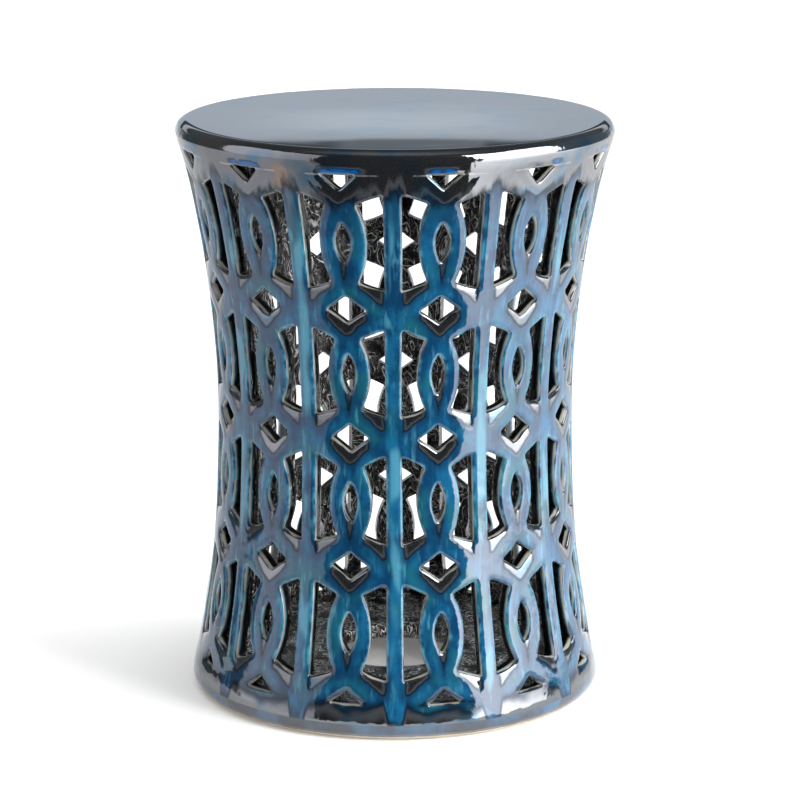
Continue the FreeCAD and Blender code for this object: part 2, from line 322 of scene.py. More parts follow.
def chart_mesh(offset, spacing, creases, second_ring):
    """Triangles of one repeat of the drum in the chart, with the holes cut out at this offset.
    Returns points, triangles, the loops' vertex numbers and the piece lines' vertex numbers."""
    pts, edges = [], []

    def add(p):
        pts.append((float(p[0]), float(p[1])))
        return len(pts) - 1

    def chain(ids):
        edges.extend(zip(ids[:-1], ids[1:]))

    loops, polys = [], []
    for h in holes:
        q = h["c"] + h["n"] * offset
        ids = [add(p) for p in q]
        chain(ids + ids[:1])
        loops.append(ids)
        polys.append(q)
    # borders of the repeat, cut at every piece line
    cuts = [Z0] + LINES + [Z1]
    border = [Z0]
    for a, b in zip(cuts[:-1], cuts[1:]):
        k = max(1, int(round((b - a) / spacing)))
        border += [a + (b - a) * (j + 1) / k for j in range(k)]
    left = [add((-U, z)) for z in border]
    right = [add((U, z)) for z in border]
    chain(left)
    chain(right)
    at = {round(z, 4): i for i, z in enumerate(border)}
    lines = {}
    nline = 30
    for z in [Z0] + LINES + [Z1]:
        a, b = left[at[round(z, 4)]], right[at[round(z, 4)]]
        hole = [i for i, h in enumerate(holes) if h["row"] is not None and abs(h["row"] - z) < 1e-6]
        if not hole:
            ids = [a] + [add((-U + 2 * U * (j + 1) / (nline + 1), z)) for j in range(nline)] + [b]
            chain(ids)
            lines[z] = [ids]
        else:
            i = hole[0]
            kl, kr = holes[i]["side"]
            vl, vr = loops[i][kl], loops[i][kr]
            xl, xr = pts[vl][0], pts[vr][0]
            m = 8
            ids1 = [a] + [add((-U + (xl + U) * (j + 1) / (m + 1), z)) for j in range(m)] + [vl]
            ids2 = [vr] + [add((xr + (U - xr) * (j + 1) / (m + 1), z)) for j in range(m)] + [b]
            chain(ids1)
            chain(ids2)
            lines[z] = [ids1, ids2]
    crease_ids = set()
    if creases:
        allL = np.array([pts[i] for L in loops for i in L])
        allI = np.array([i for L in loops for i in L])
        for g in grounds:
            q = dense(g, 1.6)
            near = np.full(len(q), 9.0)
            for poly in hole_polys:
                near = np.minimum(near, signed(q, poly, 9.0))
            keep = near > offset + 0.75
            for z in LINES:      # a crease point does not crowd a piece line
                keep &= ~((np.abs(q[:, 1] - z) < 0.45) & (np.abs(q[:, 1] - z) > 1e-9))
            n = len(q)
            if keep.all():
                ids = [add(p) for p in q]
                chain(ids + ids[:1])
                crease_ids.update(ids)
                continue
            start = next(k for k in range(n) if keep[k] and not keep[k - 1])
            run = []
            order = [(start + j) % n for j in range(n)] + [None]
            for k in order:
                if k is not None and keep[k]:
                    run.append(k)
                    continue
                if run:
                    ids = [add(q[j]) for j in run]
                    for end, pos in ((ids[0], 0), (ids[-1], -1)):
                        d = np.hypot(*(allL - np.array(pts[end])).T)
                        j = int(np.argmin(d))
                        if d[j] < 3.6:
                            edges.append((end, int(allI[j])))
                            crease_ids.add(int(allI[j]))
                    chain(ids)
                    crease_ids.update(ids)
                    run = []
    fixed = np.array(pts)
    # a second ring round each hole, then a hexagonal field
    free = []
    if second_ring:
        for h in holes:
            free.append((h["c"] + h["n"] * second_ring)[::1])
    dx, dz = spacing, spacing * math.sqrt(3) / 2
    nz = int((Z1 - Z0) / dz)
    field = []
    for j in range(1, nz):
        z = Z0 + (Z1 - Z0) * j / nz
        x = np.arange(-U + (dx / 2 if j % 2 else 0), U, dx)
        field.append(np.stack([x, np.full(len(x), z)], 1))
    fieldp = np.vstack(field)
    d = np.full(len(fieldp), 9.0)
    for poly in hole_polys:
        d = np.minimum(d, signed(fieldp, poly, 9.0))
    lim = (second_ring or offset) + spacing * 0.62
    fieldp = fieldp[d > lim]
    cand = np.vstack([np.vstack(free), fieldp]) if free else fieldp
    # thin out what crowds the fixed points or one another
    grid = {}
    cell = spacing
    kept = []

    def crowded(p, r):
        gx, gz = int(p[0] // cell), int(p[1] // cell)
        for i in (-1, 0, 1):
            for j in (-1, 0, 1):
                for q in grid.get((gx + i, gz + j), ()):
                    if (q[0] - p[0]) ** 2 + (q[1] - p[1]) ** 2 < r * r:
                        return True
        return False

    for p in fixed:
        grid.setdefault((int(p[0] // cell), int(p[1] // cell)), []).append((p[0], p[1]))
    nfree = sum(len(a) for a in free)
    for k, p in enumerate(cand):
        if abs(p[0]) > U - 0.35 * spacing or p[1] < Z0 + 0.35 * spacing or p[1] > Z1 - 0.35 * spacing:
            continue
        r = 0.8 if k < nfree else spacing * 0.62
        if crowded(p, r):
            continue
        grid.setdefault((int(p[0] // cell), int(p[1] // cell)), []).append((p[0], p[1]))
        kept.append((float(p[0]), float(p[1])))
    allp = [Vector(p) for p in pts + kept]
    vo, _e, fo, ov, _oe, _of = delaunay_2d_cdt(allp, edges, [], 0, 1e-5, True)
    back = {}
    for k, src in enumerate(ov):
        for s_ in src:
            back[s_] = k
    P = np.array([(v[0], v[1]) for v in vo])
    F = np.array([f for f in fo if len(f) == 3], int)
    cen = P[F].mean(1)
    drop = np.zeros(len(F), bool)
    for q in polys:
        lo, hi = q.min(0) - 0.1, q.max(0) + 0.1
        near = np.where(((cen > lo) & (cen < hi)).all(1))[0]
        drop[near] |= inside(cen[near], q)
    F = F[~drop]
    # anticlockwise in the chart (seen from outside)
    a, b, c = P[F[:, 0]], P[F[:, 1]], P[F[:, 2]]
    area = (b[:, 0] - a[:, 0]) * (c[:, 1] - a[:, 1]) - (b[:, 1] - a[:, 1]) * (c[:, 0] - a[:, 0])
    F = F[np.abs(area) > 1e-7]
    area = area[np.abs(area) > 1e-7]
    F[area < 0] = F[area < 0][:, ::-1]
    m = lambda ids: [back[i] for i in ids]
    on_crease = np.zeros(len(P), bool)
    if creases:
        on_crease[m(sorted(crease_ids))] = True
    return {"P": P, "F": F, "loops": [m(L) for L in loops],
            "lines": {z: [m(r) for r in runs] for z, runs in lines.items()},
            "left": m(left), "right": m(right), "crease": on_crease}


out_m = chart_mesh(1.0, 2.3, False, 2.2)
inn_m = chart_mesh(0.9, 2.9, False, 2.4)

# ------------------------------------------------------------------ one repeat
# Vertex columns: chart u, chart z, depth below the profile, layer (0 outer, 1 inner), rim distance, relief, inner weight
def relief_depth(d, dg_, z_):
    """Depth below the profile at a distance from the nearest hole and from the nearest flat."""
    t = np.clip(d / ROUND_W, 0, 1)
    ledge = z_ > 437.2                          # the flats under the seat end upward in a small ledge
    soft_ = np.where(ledge, smooth((0.3 - dg_) / 1.5), smooth((1.8 - dg_) / 4.6))
    return RELIEF * (1 - t) ** 4 + SUNK * soft_


po = out_m["P"]
dh, dg = cells(po)
V_u, V_z = [po[:, 0]], [po[:, 1]]
V_depth = [relief_depth(dh, dg, po[:, 1])]
V_rim = [dh]
V_rel = [np.clip(dh / ROUND_W, 0, 1)]
V_inn = [np.zeros(len(po))]
V_flat = [dg]
n_out = len(po)
pi_ = inn_m["P"]
dhi, dgi = cells(pi_)
# inner points move away from the hole's middle so that the walls stay parallel
shift = np.zeros(len(pi_))
weight = np.zeros(len(pi_))
for h, poly in zip(holes, hole_polys):
    d = signed(pi_, poly, 5.0)
    w = smooth(1 - (d - 0.9) / 4.0)
    take = w > weight
    rad = outer_r(pi_[:, 1])
    mv = (pi_[:, 0] - h["um"]) * (rad / (rad - WALL) - 1) * w
    shift = np.where(take, mv, shift)
    weight = np.maximum(weight, w)
shift[np.abs(np.abs(pi_[:, 0]) - U) < 1e-6] = 0
V_u.append(pi_[:, 0] + shift)
V_z.append(pi_[:, 1])
V_depth.append(np.full(len(pi_), WALL))
V_rim.append(dhi)
V_rel.append(np.zeros(len(pi_)))
V_inn.append(np.ones(len(pi_)))
V_flat.append(dgi)
base_in = n_out
faces = [out_m["F"], inn_m["F"][:, ::-1] + base_in]
cen = po[out_m["F"]].mean(1)
fg = np.zeros(len(cen), int)
for g in grounds:
    near = np.where(((cen > g.min(0)) & (cen < g.max(0))).all(1))[0]
    fg[near] |= inside(cen[near], g).astype(int)
f_group = [fg, np.full(len(inn_m["F"]), 0)]
f_z = [po[out_m["F"]][:, :, 1].mean(1), pi_[inn_m["F"]][:, :, 1].mean(1)]
count = n_out + len(pi_)
end_chain = {}            # rings met at a diamond's side, for the caps
for hi_, h in enumerate(holes):
    c, n = h["c"], h["n"]
    m = len(c)
    rad = outer_r(c[:, 1])
    rings = [np.array(out_m["loops"][hi_])]
    # outer lip, wall, inner lip: (offset, extra depth or None, share of the wall)
    wide = 1.0 + 0.95 * smooth((-n[:, 1] - 0.05) / 0.6)       # lips that face up are rounder
    for off, extra in ((0.42, 0.22), (0.10, 0.62), (0.0, 1.35)):
        off = off * wide
        extra = extra * wide
        q = c + n * off[:, None]
        dho, dgo = off, np.full(m, 16.0)
        for g in grounds:
            dgo = np.minimum(dgo, signed(q, g, 16.0))
        V_flat.append(dgo)
        V_u.append(q[:, 0])
        V_z.append(q[:, 1])
        V_depth.append(relief_depth(dho, dgo, q[:, 1]) + extra)
        V_rim.append((off - 0.25 * extra) / wide)
        V_rel.append(np.clip(dho / ROUND_W, 0, 1))
        V_inn.append(np.zeros(m))
        rings.append(np.arange(count, count + m))
        count += m
    last_depth = V_depth[-1]
    for k, (off, depth, inn) in enumerate(((0.0, 0.52, 0.5), (0.0, WALL - 1.1, 1.0), (0.32, WALL - 0.3, 1.0))):
        dep = last_depth + (WALL - 1.1 - last_depth) * depth if k == 0 else np.full(m, depth)
        q = c + n * off
        V_u.append(q[:, 0] + (q[:, 0] - h["um"]) * (rad / (rad - dep) - 1))
        V_z.append(q[:, 1])
        V_depth.append(dep)
        V_rim.append(np.full(m, -2.0 - k))
        V_rel.append(np.zeros(m))
        V_inn.append(np.full(m, inn))
        V_flat.append(dgo)
        rings.append(np.arange(count, count + m))
        count += m
    rings.append(np.array(inn_m["loops"][hi_]) + base_in)
    for a, b in zip(rings[:-1], rings[1:]):
        a2, b2 = np.roll(a, -1), np.roll(b, -1)
        zc = (c[:, 1] + np.roll(c[:, 1], -1)) / 2
        faces.append(np.concatenate([np.stack([a, b2, a2], 1), np.stack([a, b, b2], 1)])[:, ::-1])
        f_group.append(np.zeros(2 * m, int))
        f_z.append(np.concatenate([zc, zc]))
    for k in h["side"]:
        end_chain[rings[0][k]] = [int(r[k]) for r in rings]
su = np.concatenate(V_u)
sz = np.concatenate(V_z)
sdepth = np.concatenate(V_depth)
srim = np.concatenate(V_rim)
srel = np.concatenate(V_rel)
sinn = np.concatenate(V_inn)
sflat = np.concatenate(V_flat)
sF = np.concatenate(faces)
sG = np.concatenate(f_group)
sZ = np.concatenate(f_z)
s_crease = np.zeros(count, bool)
s_crease[:n_out] = out_m["crease"]

# ------------------------------------------------------------------ the whole drum
right = np.array(out_m["right"] + [i + base_in for i in inn_m["right"]])
left = np.array(out_m["left"] + [i + base_in for i in inn_m["left"]])
own = np.ones(count, bool)
own[right] = False
local = np.full(count, -1)
local[own] = np.arange(own.sum())
n_own = int(own.sum())
gid = np.empty((REPEATS, count), int)
for k in range(REPEATS):
    gid[k, own] = k * n_own + local[own]
for k in range(REPEATS):
    gid[k, right] = gid[(k + 1) % REPEATS, left]
ang = np.concatenate([FRONT + STEP * (k + 0.5) + su[own] / S for k in range(REPEATS)])
gz = np.tile(sz[own], REPEATS)
gdepth = np.tile(sdepth[own], REPEATS)
g_rim = np.tile(srim[own], REPEATS)
g_rel = np.tile(srel[own], REPEATS)
g_inn = np.tile(sinn[own], REPEATS)
g_flat = np.tile(sflat[own], REPEATS)
g_crease = np.tile(s_crease[own], REPEATS)
GF = np.concatenate([gid[k][sF] for k in range(REPEATS)])
GG = np.tile(sG, REPEATS)
GZ = np.tile(sZ, REPEATS)

PIECES = ["base_band_glazed", "openwork_lowest", "openwork_lower", "openwork_upper", "openwork_highest",
          "shoulder_glazed"]
GP = np.searchsorted(np.array(LINES), GZ)


def waves(a_deg, z, seed, low=1, high=9):
    """Slow unevenness round the drum, about -1 to 1."""
    r = np.random.default_rng(seed)
    out = np.zeros(len(z))
    n = 14
    for _ in range(n):
        out += np.sin(np.radians(a_deg) * r.integers(low, high) + z / r.uniform(28, 90) + r.uniform(0, 6.28))
    return out / math.sqrt(n / 2) * 0.5


def place(a_deg, z, depth, inn):
    """Chart position to millimetres, with the unevenness of handwork."""
    fade = smooth((z - 24.0) / 16.0) * smooth((443.0 - z) / 16.0)
    r = outer_r(z)
    dr = -0.35 - 0.35 * waves(a_deg, z, 5, 1, 5)
    dr = dr * smooth((z - 15.0) / 20.0) * smooth((446.0 - z) / 20.0)
    dep = depth * (1 + 0.10 * waves(a_deg, z, 11, 2, 14) * (inn < 0.2))
    turn = np.interp(z, [60.0, 85.0, 185.0, 285.0, 385.0, 432.0], [0.0, 0.0, -0.25, -0.47, -0.62, -0.95])
    a2 = a_deg + turn + fade * 0.11 * waves(a_deg, z, 21, 3, 16)
    z2 = z + fade * 0.38 * waves(a_deg, z, 31, 3, 16)
    rad = r + dr - dep
    t = np.radians(a2)
    P = np.stack([rad * np.cos(t), rad * np.sin(t), z2], 1)
    return P, t


GV, gt = place(ang, gz, gdepth, g_inn)
# hand-worked inside: shallow dents and strokes in the clay
crk = (1.15 * noise(GV, (11, 11, 15)) + 0.75 * noise(GV, (5.6, 5.6, 8.0), 7.7))
ridge = 1 - 2 * np.abs(noise(GV, (8.5, 8.5, 17.0), 3.3))
crk = crk * 0.85 + 0.65 * ridge
amt = (g_inn > 0.9) * smooth((gz - Z0) / 6.0) * smooth((Z1 - gz) / 4.0)
inner_wall = np.tile(((np.arange(count) >= n_out) & (np.arange(count) < n_out + len(pi_)))[own], REPEATS)
amt = amt * np.where(inner_wall, 1.0, 0.35) * 0.9
GV[:, 0] += np.cos(gt) * crk * amt
GV[:, 1] += np.sin(gt) * crk * amt
# a little life in the cut walls
cut = ((g_inn > 0.2) & ~inner_wall) | (g_rim < 0.05)
wob = 0.16 * noise(GV, 6.0, 1.9) * cut
GV[:, 0] += np.cos(gt) * wob
GV[:, 1] += np.sin(gt) * wob
GV[:, 2] += 0.16 * noise(GV, 5.0, 4.1) * (cut & (g_inn > 0.2))

verts = [GV]
attr = {"rim": [g_rim], "relief": [g_rel], "inner": [g_inn], "flat": [g_flat]}
crease_all = [g_crease]
F_all = [GF]
G_all = [GG]
P_all = [np.array([PIECES.index(PIECES[p]) for p in range(len(PIECES))])[GP]]
names = list(PIECES)
total = len(GV)


def add_verts(P, rim=8.0, rel=1.0, inn=0.0):
    global total
    P = np.asarray(P, float)
    verts.append(P)
    n = len(P)
    attr["rim"].append(np.broadcast_to(rim, n).astype(float))
    attr["relief"].append(np.broadcast_to(rel, n).astype(float))
    attr["inner"].append(np.broadcast_to(inn, n).astype(float))
    attr["flat"].append(np.full(n, 16.0))
    crease_all.append(np.zeros(n, bool))
    ids = np.arange(total, total + n)
    total += n
    return ids


def add_faces(F, piece, group=0):
    F = np.asarray(F, int)
    if piece not in names:
        names.append(piece)
    F_all.append(F)
    G_all.append(np.full(len(F), group))
    P_all.append(np.full(len(F), names.index(piece)))


def strip(a, b, piece, group=0, flip=False):
    """Faces between two closed rings of as many vertices; a is below b when seen from outside, angles increasing."""
    a2, b2 = np.roll(a, -1), np.roll(b, -1)
    F = np.concatenate([np.stack([a, a2, b2], 1), np.stack([a, b2, b], 1)])
    add_faces(F[:, ::-1] if flip else F, piece, group)


# ---- caps where two pieces of the wall meet
CAP = 5
cap_no = 0
for z in LINES:
    below = PIECES[LINES.index(z)]
    above = PIECES[LINES.index(z) + 1]
    for k in range(REPEATS):
        for ro, ri in zip(out_m["lines"][z], inn_m["lines"][z]):
            ro2 = [int(gid[k][i]) for i in ro]
            ri2 = [int(gid[k][i + base_in]) for i in ri]
            tri = []
            for j in range(len(ro2) - 1):
                o1, o2, i1, i2 = ro2[j], ro2[j + 1], ri2[j], ri2[j + 1]
                endl, endr = end_chain.get(ro[j]), end_chain.get(ro[j + 1])
                if endr:      # the last face follows the wall of the diamond
                    ch = [int(gid[k][i]) for i in endr]
                    poly = [o1] + ch + [i1]
                elif endl:
                    ch = [int(gid[k][i]) for i in endl]
                    poly = [o2, i2] + ch[::-1]
                    poly = [i2] + ch[::-1] + [o2]
                else:
                    tri += [(o1, o2, i2), (o1, i2, i1)]
                    continue
                if endr:
                    piv = poly[-1]
                    tri += [(piv, poly[q], poly[q + 1]) for q in range(len(poly) - 2)]
                else:
                    piv = poly[0]
                    # i2, inner ... outer, o2  seen with o1->o2 direction
                    tri += [(piv, poly[q], poly[q + 1]) for q in range(1, len(poly) - 1)]
            T = np.array(tri, int)
            # normal up for the piece below, down for the piece above
            A, B, C_ = (np.concatenate(verts)[T[:, q]] for q in range(3)) if False else (GV[T[:, 0]], GV[T[:, 1]], GV[T[:, 2]])
            nz_ = np.cross(B - A, C_ - A)[:, 2]
            Tu = np.where(nz_[:, None] >= 0, T, T[:, ::-1])
            ok = np.abs(np.cross(B - A, C_ - A)).sum(1) > 1e-9
            add_faces(Tu[ok], below, CAP + 2 * cap_no)
            add_faces(Tu[ok][:, ::-1], above, CAP + 2 * cap_no + 1)
    cap_no += 1


def ring_ids(m_, z, base):
    """Global vertex numbers round a full line of the chart, by increasing angle."""
    out = []
    for k in range(REPEATS):
        out += [int(gid[k][i + base]) for i in m_["lines"][z][0][:-1]]
    return np.array(out)


top_out, top_in = ring_ids(out_m, SEAT_Z, 0), ring_ids(inn_m, SEAT_Z, base_in)
bot_out, bot_in = ring_ids(out_m, SLAB_Z, 0), ring_ids(inn_m, SLAB_Z, base_in)
NR = len(top_out)
ring_a = np.arctan2(GV[top_out, 1], GV[top_out, 0])


def circle(r, z, a=None):
    a = ring_a if a is None else a
    return np.stack([r * np.cos(a), r * np.sin(a), np.broadcast_to(z, len(a))], 1)


# caps of the wall's two ends, hidden under the seat and on the slab
strip(top_out, top_in, "shoulder_glazed", 40)
strip(bot_in, bot_out, "base_band_glazed", 41)


def disc(ring_xy, inner_ring, spacing, zfun, flip, piece, group, outer_ids=None, inner_ids=None, **kw):
    """Flat field of triangles inside a ring of vertices, with a round hole if inner_ring is given."""
    pts = [tuple(p) for p in ring_xy]
    n = len(pts)
    edges = [(i, (i + 1) % n) for i in range(n)]
    ni = 0
    if inner_ring is not None:
        pts += [tuple(p) for p in inner_ring]
        ni = len(inner_ring)
        edges += [(n + i, n + (i + 1) % ni) for i in range(ni)]
    r1 = np.hypot(*np.array(ring_xy).T).min()
    r0 = np.hypot(*np.array(inner_ring).T).max() if inner_ring is not None else 0
    # rings of points that grow coarser away from the edge
    r, dr = r1, 2 * math.pi * r1 / n
    while True:
        dr = min(dr * 1.18, spacing)
        r -= dr * 0.87
        if r < r0 + dr * 0.6 or r < dr * 0.6:
            break
        m = max(5, int(2 * math.pi * r / dr))
        off = (len(pts) * 0.618) % 1
        t = (np.arange(m) + off) * 2 * math.pi / m
        pts += [(r * math.cos(x), r * math.sin(x)) for x in t]
    if inner_ring is None:
        pts.append((0.0, 0.0))
    vo, _e, fo, ov, _a, _b = delaunay_2d_cdt([Vector(p) for p in pts], edges, [], 0, 1e-5, True)
    P = np.array([(v[0], v[1]) for v in vo])
    F = np.array([f for f in fo if len(f) == 3], int)
    back = np.full(len(pts), -1)
    for k, src in enumerate(ov):
        for s_ in src:
            back[s_] = k
    c = P[F].mean(1)
    keep = np.ones(len(F), bool)
    if inner_ring is not None:
        keep &= ~inside(c, np.array(inner_ring))
    keep &= inside(c, np.array(ring_xy))
    F = F[keep]
    a, b, d = P[F[:, 0]], P[F[:, 1]], P[F[:, 2]]
    ar = (b[:, 0] - a[:, 0]) * (d[:, 1] - a[:, 1]) - (b[:, 1] - a[:, 1]) * (d[:, 0] - a[:, 0])
    F[ar < 0] = F[ar < 0][:, ::-1]
    own_ids = np.full(len(P), -1)
    if outer_ids is not None:
        own_ids[back[:n]] = outer_ids
    if inner_ids is not None:
        own_ids[back[n:n + ni]] = inner_ids
    new = own_ids < 0
    q = np.column_stack([P, np.zeros(len(P))])
    q[:, 2] = zfun(q)
    own_ids[new] = add_verts(q[new], **kw)
    F = own_ids[F]
    add_faces(F[:, ::-1] if flip else F, piece, group)


# ---- seat: the profile runs on up, rounds over and closes with a nearly flat top
PIECE = "seat_glazed"
r448 = float(outer_r(448.0)) - 0.06
r_flat = r448 - SEAT_ROUND
prev = top_out
for z in (444.6, 446.3, 448.0):
    ids = add_verts(circle(float(outer_r(z)) - 0.012 * (z - 443.0), z))
    strip(prev, ids, PIECE)
    prev = ids
for k in range(1, 15):
    t = math.radians(90 * k / 14)
    rr = r_flat + SEAT_ROUND * math.cos(t)
    zz = HEIGHT - SEAT_ROUND + SEAT_ROUND * math.sin(t)
    P3 = circle(rr, zz)
    # the rounding is not quite even
    wv = waves(np.degrees(ring_a), np.full(NR, 100.0 + 9.0 * k), 41, 3, 22)
    low = 0.13 * (1 + wv) * math.cos(t) * math.sin(t)
    P3[:, 2] -= np.clip(low, 0, 0.6) + 0.05 * smooth(k / 5)
    P3[:, 0] -= np.cos(ring_a) * np.clip(0.18 * (1 + wv), 0, 0.4) * math.cos(t) * smooth(k / 5)
    P3[:, 1] -= np.sin(ring_a) * np.clip(0.18 * (1 + wv), 0, 0.4) * math.cos(t) * smooth(k / 5)
    ids = add_verts(P3)
    strip(prev, ids, PIECE)
    prev = ids
edge_z = P3[:, 2]


def seat_top(q):
    r = np.hypot(q[:, 0], q[:, 1])
    a = np.arctan2(q[:, 1], q[:, 0])
    order = np.argsort(ring_a)
    ez = np.interp(a, ring_a[order], edge_z[order], period=2 * math.pi)
    mid = HEIGHT - 0.06 + 0.022 * noise(q, (95, 70, 50), 2.2) + 0.006 * noise(q, (38, 30, 20), 5.0)
    w = smooth((r_flat - r) / 26.0)
    return np.minimum(ez * (1 - w) + mid * w, HEIGHT - 0.02)


disc(P3[:, :2], None, 7.0, seat_top, False, PIECE, 0, outer_ids=prev)
# underside: a flat disc, with the drum's wall under its rim
prev_in = add_verts(circle(float(outer_r(SEAT_Z)) - WALL, SEAT_Z), inn=1.0)
strip(prev_in, top_out, PIECE, 42)


def under_seat(q):
    r = np.hypot(q[:, 0], q[:, 1])
    return SEAT_Z + (0.5 * noise(q, 13.0, 9.0) - 0.5) * smooth((156.0 - r) / 8.0) * 0.8


disc(circle(float(outer_r(SEAT_Z)) - WALL, SEAT_Z)[:, :2], None, 5.0, under_seat, True, PIECE, 42,
     outer_ids=prev_in, inn=1.0)

# ---- floor slab: outer band, top inside the drum, rounded opening, underside
PIECE = "floor_slab_glazed"
ids13 = add_verts(circle(float(outer_r(SLAB_UNDER_Z)), SLAB_UNDER_Z))
mid_id = add_verts(circle(float(outer_r(17.3)), 17.3))
mid_id2 = add_verts(circle(float(outer_r(21.6)), 21.6))
strip(ids13, mid_id, PIECE)
strip(mid_id, mid_id2, PIECE)
strip(mid_id2, bot_out, PIECE)
top_edge = add_verts(circle(float(outer_r(SLAB_Z)) - WALL, SLAB_Z), inn=1.0)
strip(bot_out, top_edge, PIECE, 43)
nh = 150
ha = np.arange(nh) * 2 * math.pi / nh
hole_wave = 0.9 * np.sin(2 * ha + 0.6) + 0.6 * np.sin(3 * ha + 2.0) + 0.25 * np.sin(7 * ha)


def hole_ring(r, z):
    rr = r + hole_wave * 0.5
    return np.stack([rr * np.cos(ha), rr * np.sin(ha), np.full(nh, z)], 1)


# rim of the opening: raised a little and rolled over
rim_prof = [(SLAB_HOLE_R + 9.0, SLAB_Z), (SLAB_HOLE_R + 6.6, SLAB_Z - 0.1), (SLAB_HOLE_R + 4.2, SLAB_Z - 0.55),
            (SLAB_HOLE_R + 2.3, SLAB_Z - 1.6), (SLAB_HOLE_R + 1.1, SLAB_Z - 3.2), (SLAB_HOLE_R + 0.6, SLAB_Z - 5.4),
            (SLAB_HOLE_R + 0.6, SLAB_Z - 7.8), (SLAB_HOLE_R + 1.1, SLAB_Z - 10.0), (SLAB_HOLE_R + 2.3, SLAB_Z - 11.7),
            (SLAB_HOLE_R + 4.2, SLAB_Z - 12.7), (SLAB_HOLE_R + 6.6, SLAB_Z - 13.0)]
rings_h = [add_verts(hole_ring(*rz), inn=1.0) for rz in rim_prof]
for a, b in zip(rings_h[:-1], rings_h[1:]):
    strip(b, a, PIECE, 43, flip=True)


def slab_top(q):
    r = np.hypot(q[:, 0], q[:, 1])
    n = 0.9 * noise(q, 12.0, 6.1) + 0.55 * noise(q, 6.0, 2.6) + 0.5 * (1 - 2 * np.abs(noise(q, 9.0, 8.4)))
    w = smooth((r - SLAB_HOLE_R - 9.0) / 9.0) * smooth((150.0 - r) / 5.0)
    return SLAB_Z + (n - 0.9) * w


disc(circle(float(outer_r(SLAB_Z)) - WALL, SLAB_Z)[:, :2], hole_ring(*rim_prof[0])[:, :2], 3.0, slab_top, False,
     PIECE, 43, outer_ids=top_edge, inner_ids=rings_h[0], inn=1.0)
in143 = add_verts(circle(FOOT_IN_R, SLAB_UNDER_Z), inn=1.0)
strip(in143, ids13, PIECE, 44)


def slab_under(q):
    r = np.hypot(q[:, 0], q[:, 1])
    return SLAB_UNDER_Z + (0.5 * noise(q, 14.0, 1.1) + 0.5) * smooth((140.0 - r) / 8.0) * smooth((r - 60.0) / 8.0)


disc(circle(FOOT_IN_R, SLAB_UNDER_Z)[:, :2], hole_ring(*rim_prof[-1])[:, :2], 5.0, slab_under, True,
     PIECE, 44, outer_ids=in143, inner_ids=rings_h[-1], inn=1.0)

# ---- foot ring: rounded glazed edge over a line of bare clay
PIECE = "foot_glazed"
r_join = float(outer_r(SLAB_UNDER_Z))
r_foot = r_join + 0.15 - FOOT_ROUND
prev = ids13
foot_rows = []
for k in range(0, 13):
    t = math.radians(90 * k / 12)
    rr = r_foot + FOOT_ROUND * math.cos(t)
    zz = FOOT_ROUND - FOOT_ROUND * math.sin(t)
    ids = add_verts(circle(rr, zz), rel=0.5)
    strip(ids, prev, PIECE)
    prev = ids
mid_foot = add_verts(circle((r_foot + FOOT_IN_R) / 2, 0.0), rel=0.5)
inn_foot = add_verts(circle(FOOT_IN_R + 1.2, 0.0), rel=0.5)
strip(mid_foot, prev, PIECE)
strip(inn_foot, mid_foot, PIECE)
lip = add_verts(circle(FOOT_IN_R + 0.3, 0.5), rel=0.5)
inn_up = add_verts(circle(FOOT_IN_R, 2.0), rel=0.5)
inn_top = add_verts(circle(FOOT_IN_R, SLAB_UNDER_Z), rel=0.5)
strip(lip, inn_foot, PIECE)
strip(inn_up, lip, PIECE)
strip(inn_top, inn_up, PIECE)
strip(ids13, inn_top, PIECE, 45)

# ------------------------------------------------------------------ smooth normals and objects
ALLV = np.concatenate(verts)
ALLF = np.concatenate(F_all)
ALLG = np.concatenate(G_all)
ALLP = np.concatenate(P_all)
rim = np.concatenate(attr["rim"])
rel = np.concatenate(attr["relief"])
inn = np.concatenate(attr["inner"])
flat_d = np.concatenate(attr["flat"])
crs = np.concatenate(crease_all)

fa, fb, fc = ALLV[ALLF[:, 0]], ALLV[ALLF[:, 1]], ALLV[ALLF[:, 2]]
fn = np.cross(fb - fa, fc - fa)
fl = np.linalg.norm(fn, axis=1)
good = fl > 1e-9
ALLF, ALLG, ALLP, fn, fl = ALLF[good], ALLG[good], ALLP[good], fn[good], fl[good]
fn /= fl[:, None]


def corner_angles(F):
    out = np.empty(F.shape)
    for k in range(3):
        p, q, r = ALLV[F[:, k]], ALLV[F[:, (k + 1) % 3]], ALLV[F[:, (k + 2) % 3]]
        a, b = q - p, r - p
        c = (a * b).sum(1) / np.maximum(np.linalg.norm(a, axis=1) * np.linalg.norm(b, axis=1), 1e-12)
        out[:, k] = np.arccos(np.clip(c, -1, 1))
    return out


wa = corner_angles(ALLF)
# a sunk flat is smoothed apart from the bands only along its crease
grp = np.where(ALLG[:, None] >= CAP, ALLG[:, None], np.where(crs[ALLF], ALLG[:, None], 0))
grp = np.broadcast_to(grp, ALLF.shape)
key = ALLF.astype(np.int64) * 64 + grp
uk, inv = np.unique(key.ravel(), return_inverse=True)
acc = np.zeros((len(uk), 3))
wn = (fn[:, None, :] * wa[:, :, None]).reshape(-1, 3)
for q in range(3):
    acc[:, q] = np.bincount(inv, wn[:, q], len(uk))
acc /= np.maximum(np.linalg.norm(acc, axis=1, keepdims=True), 1e-12)
corner_n = acc[inv].reshape(-1, 3, 3)
ground_face = ((ALLG == 1)).astype(float)


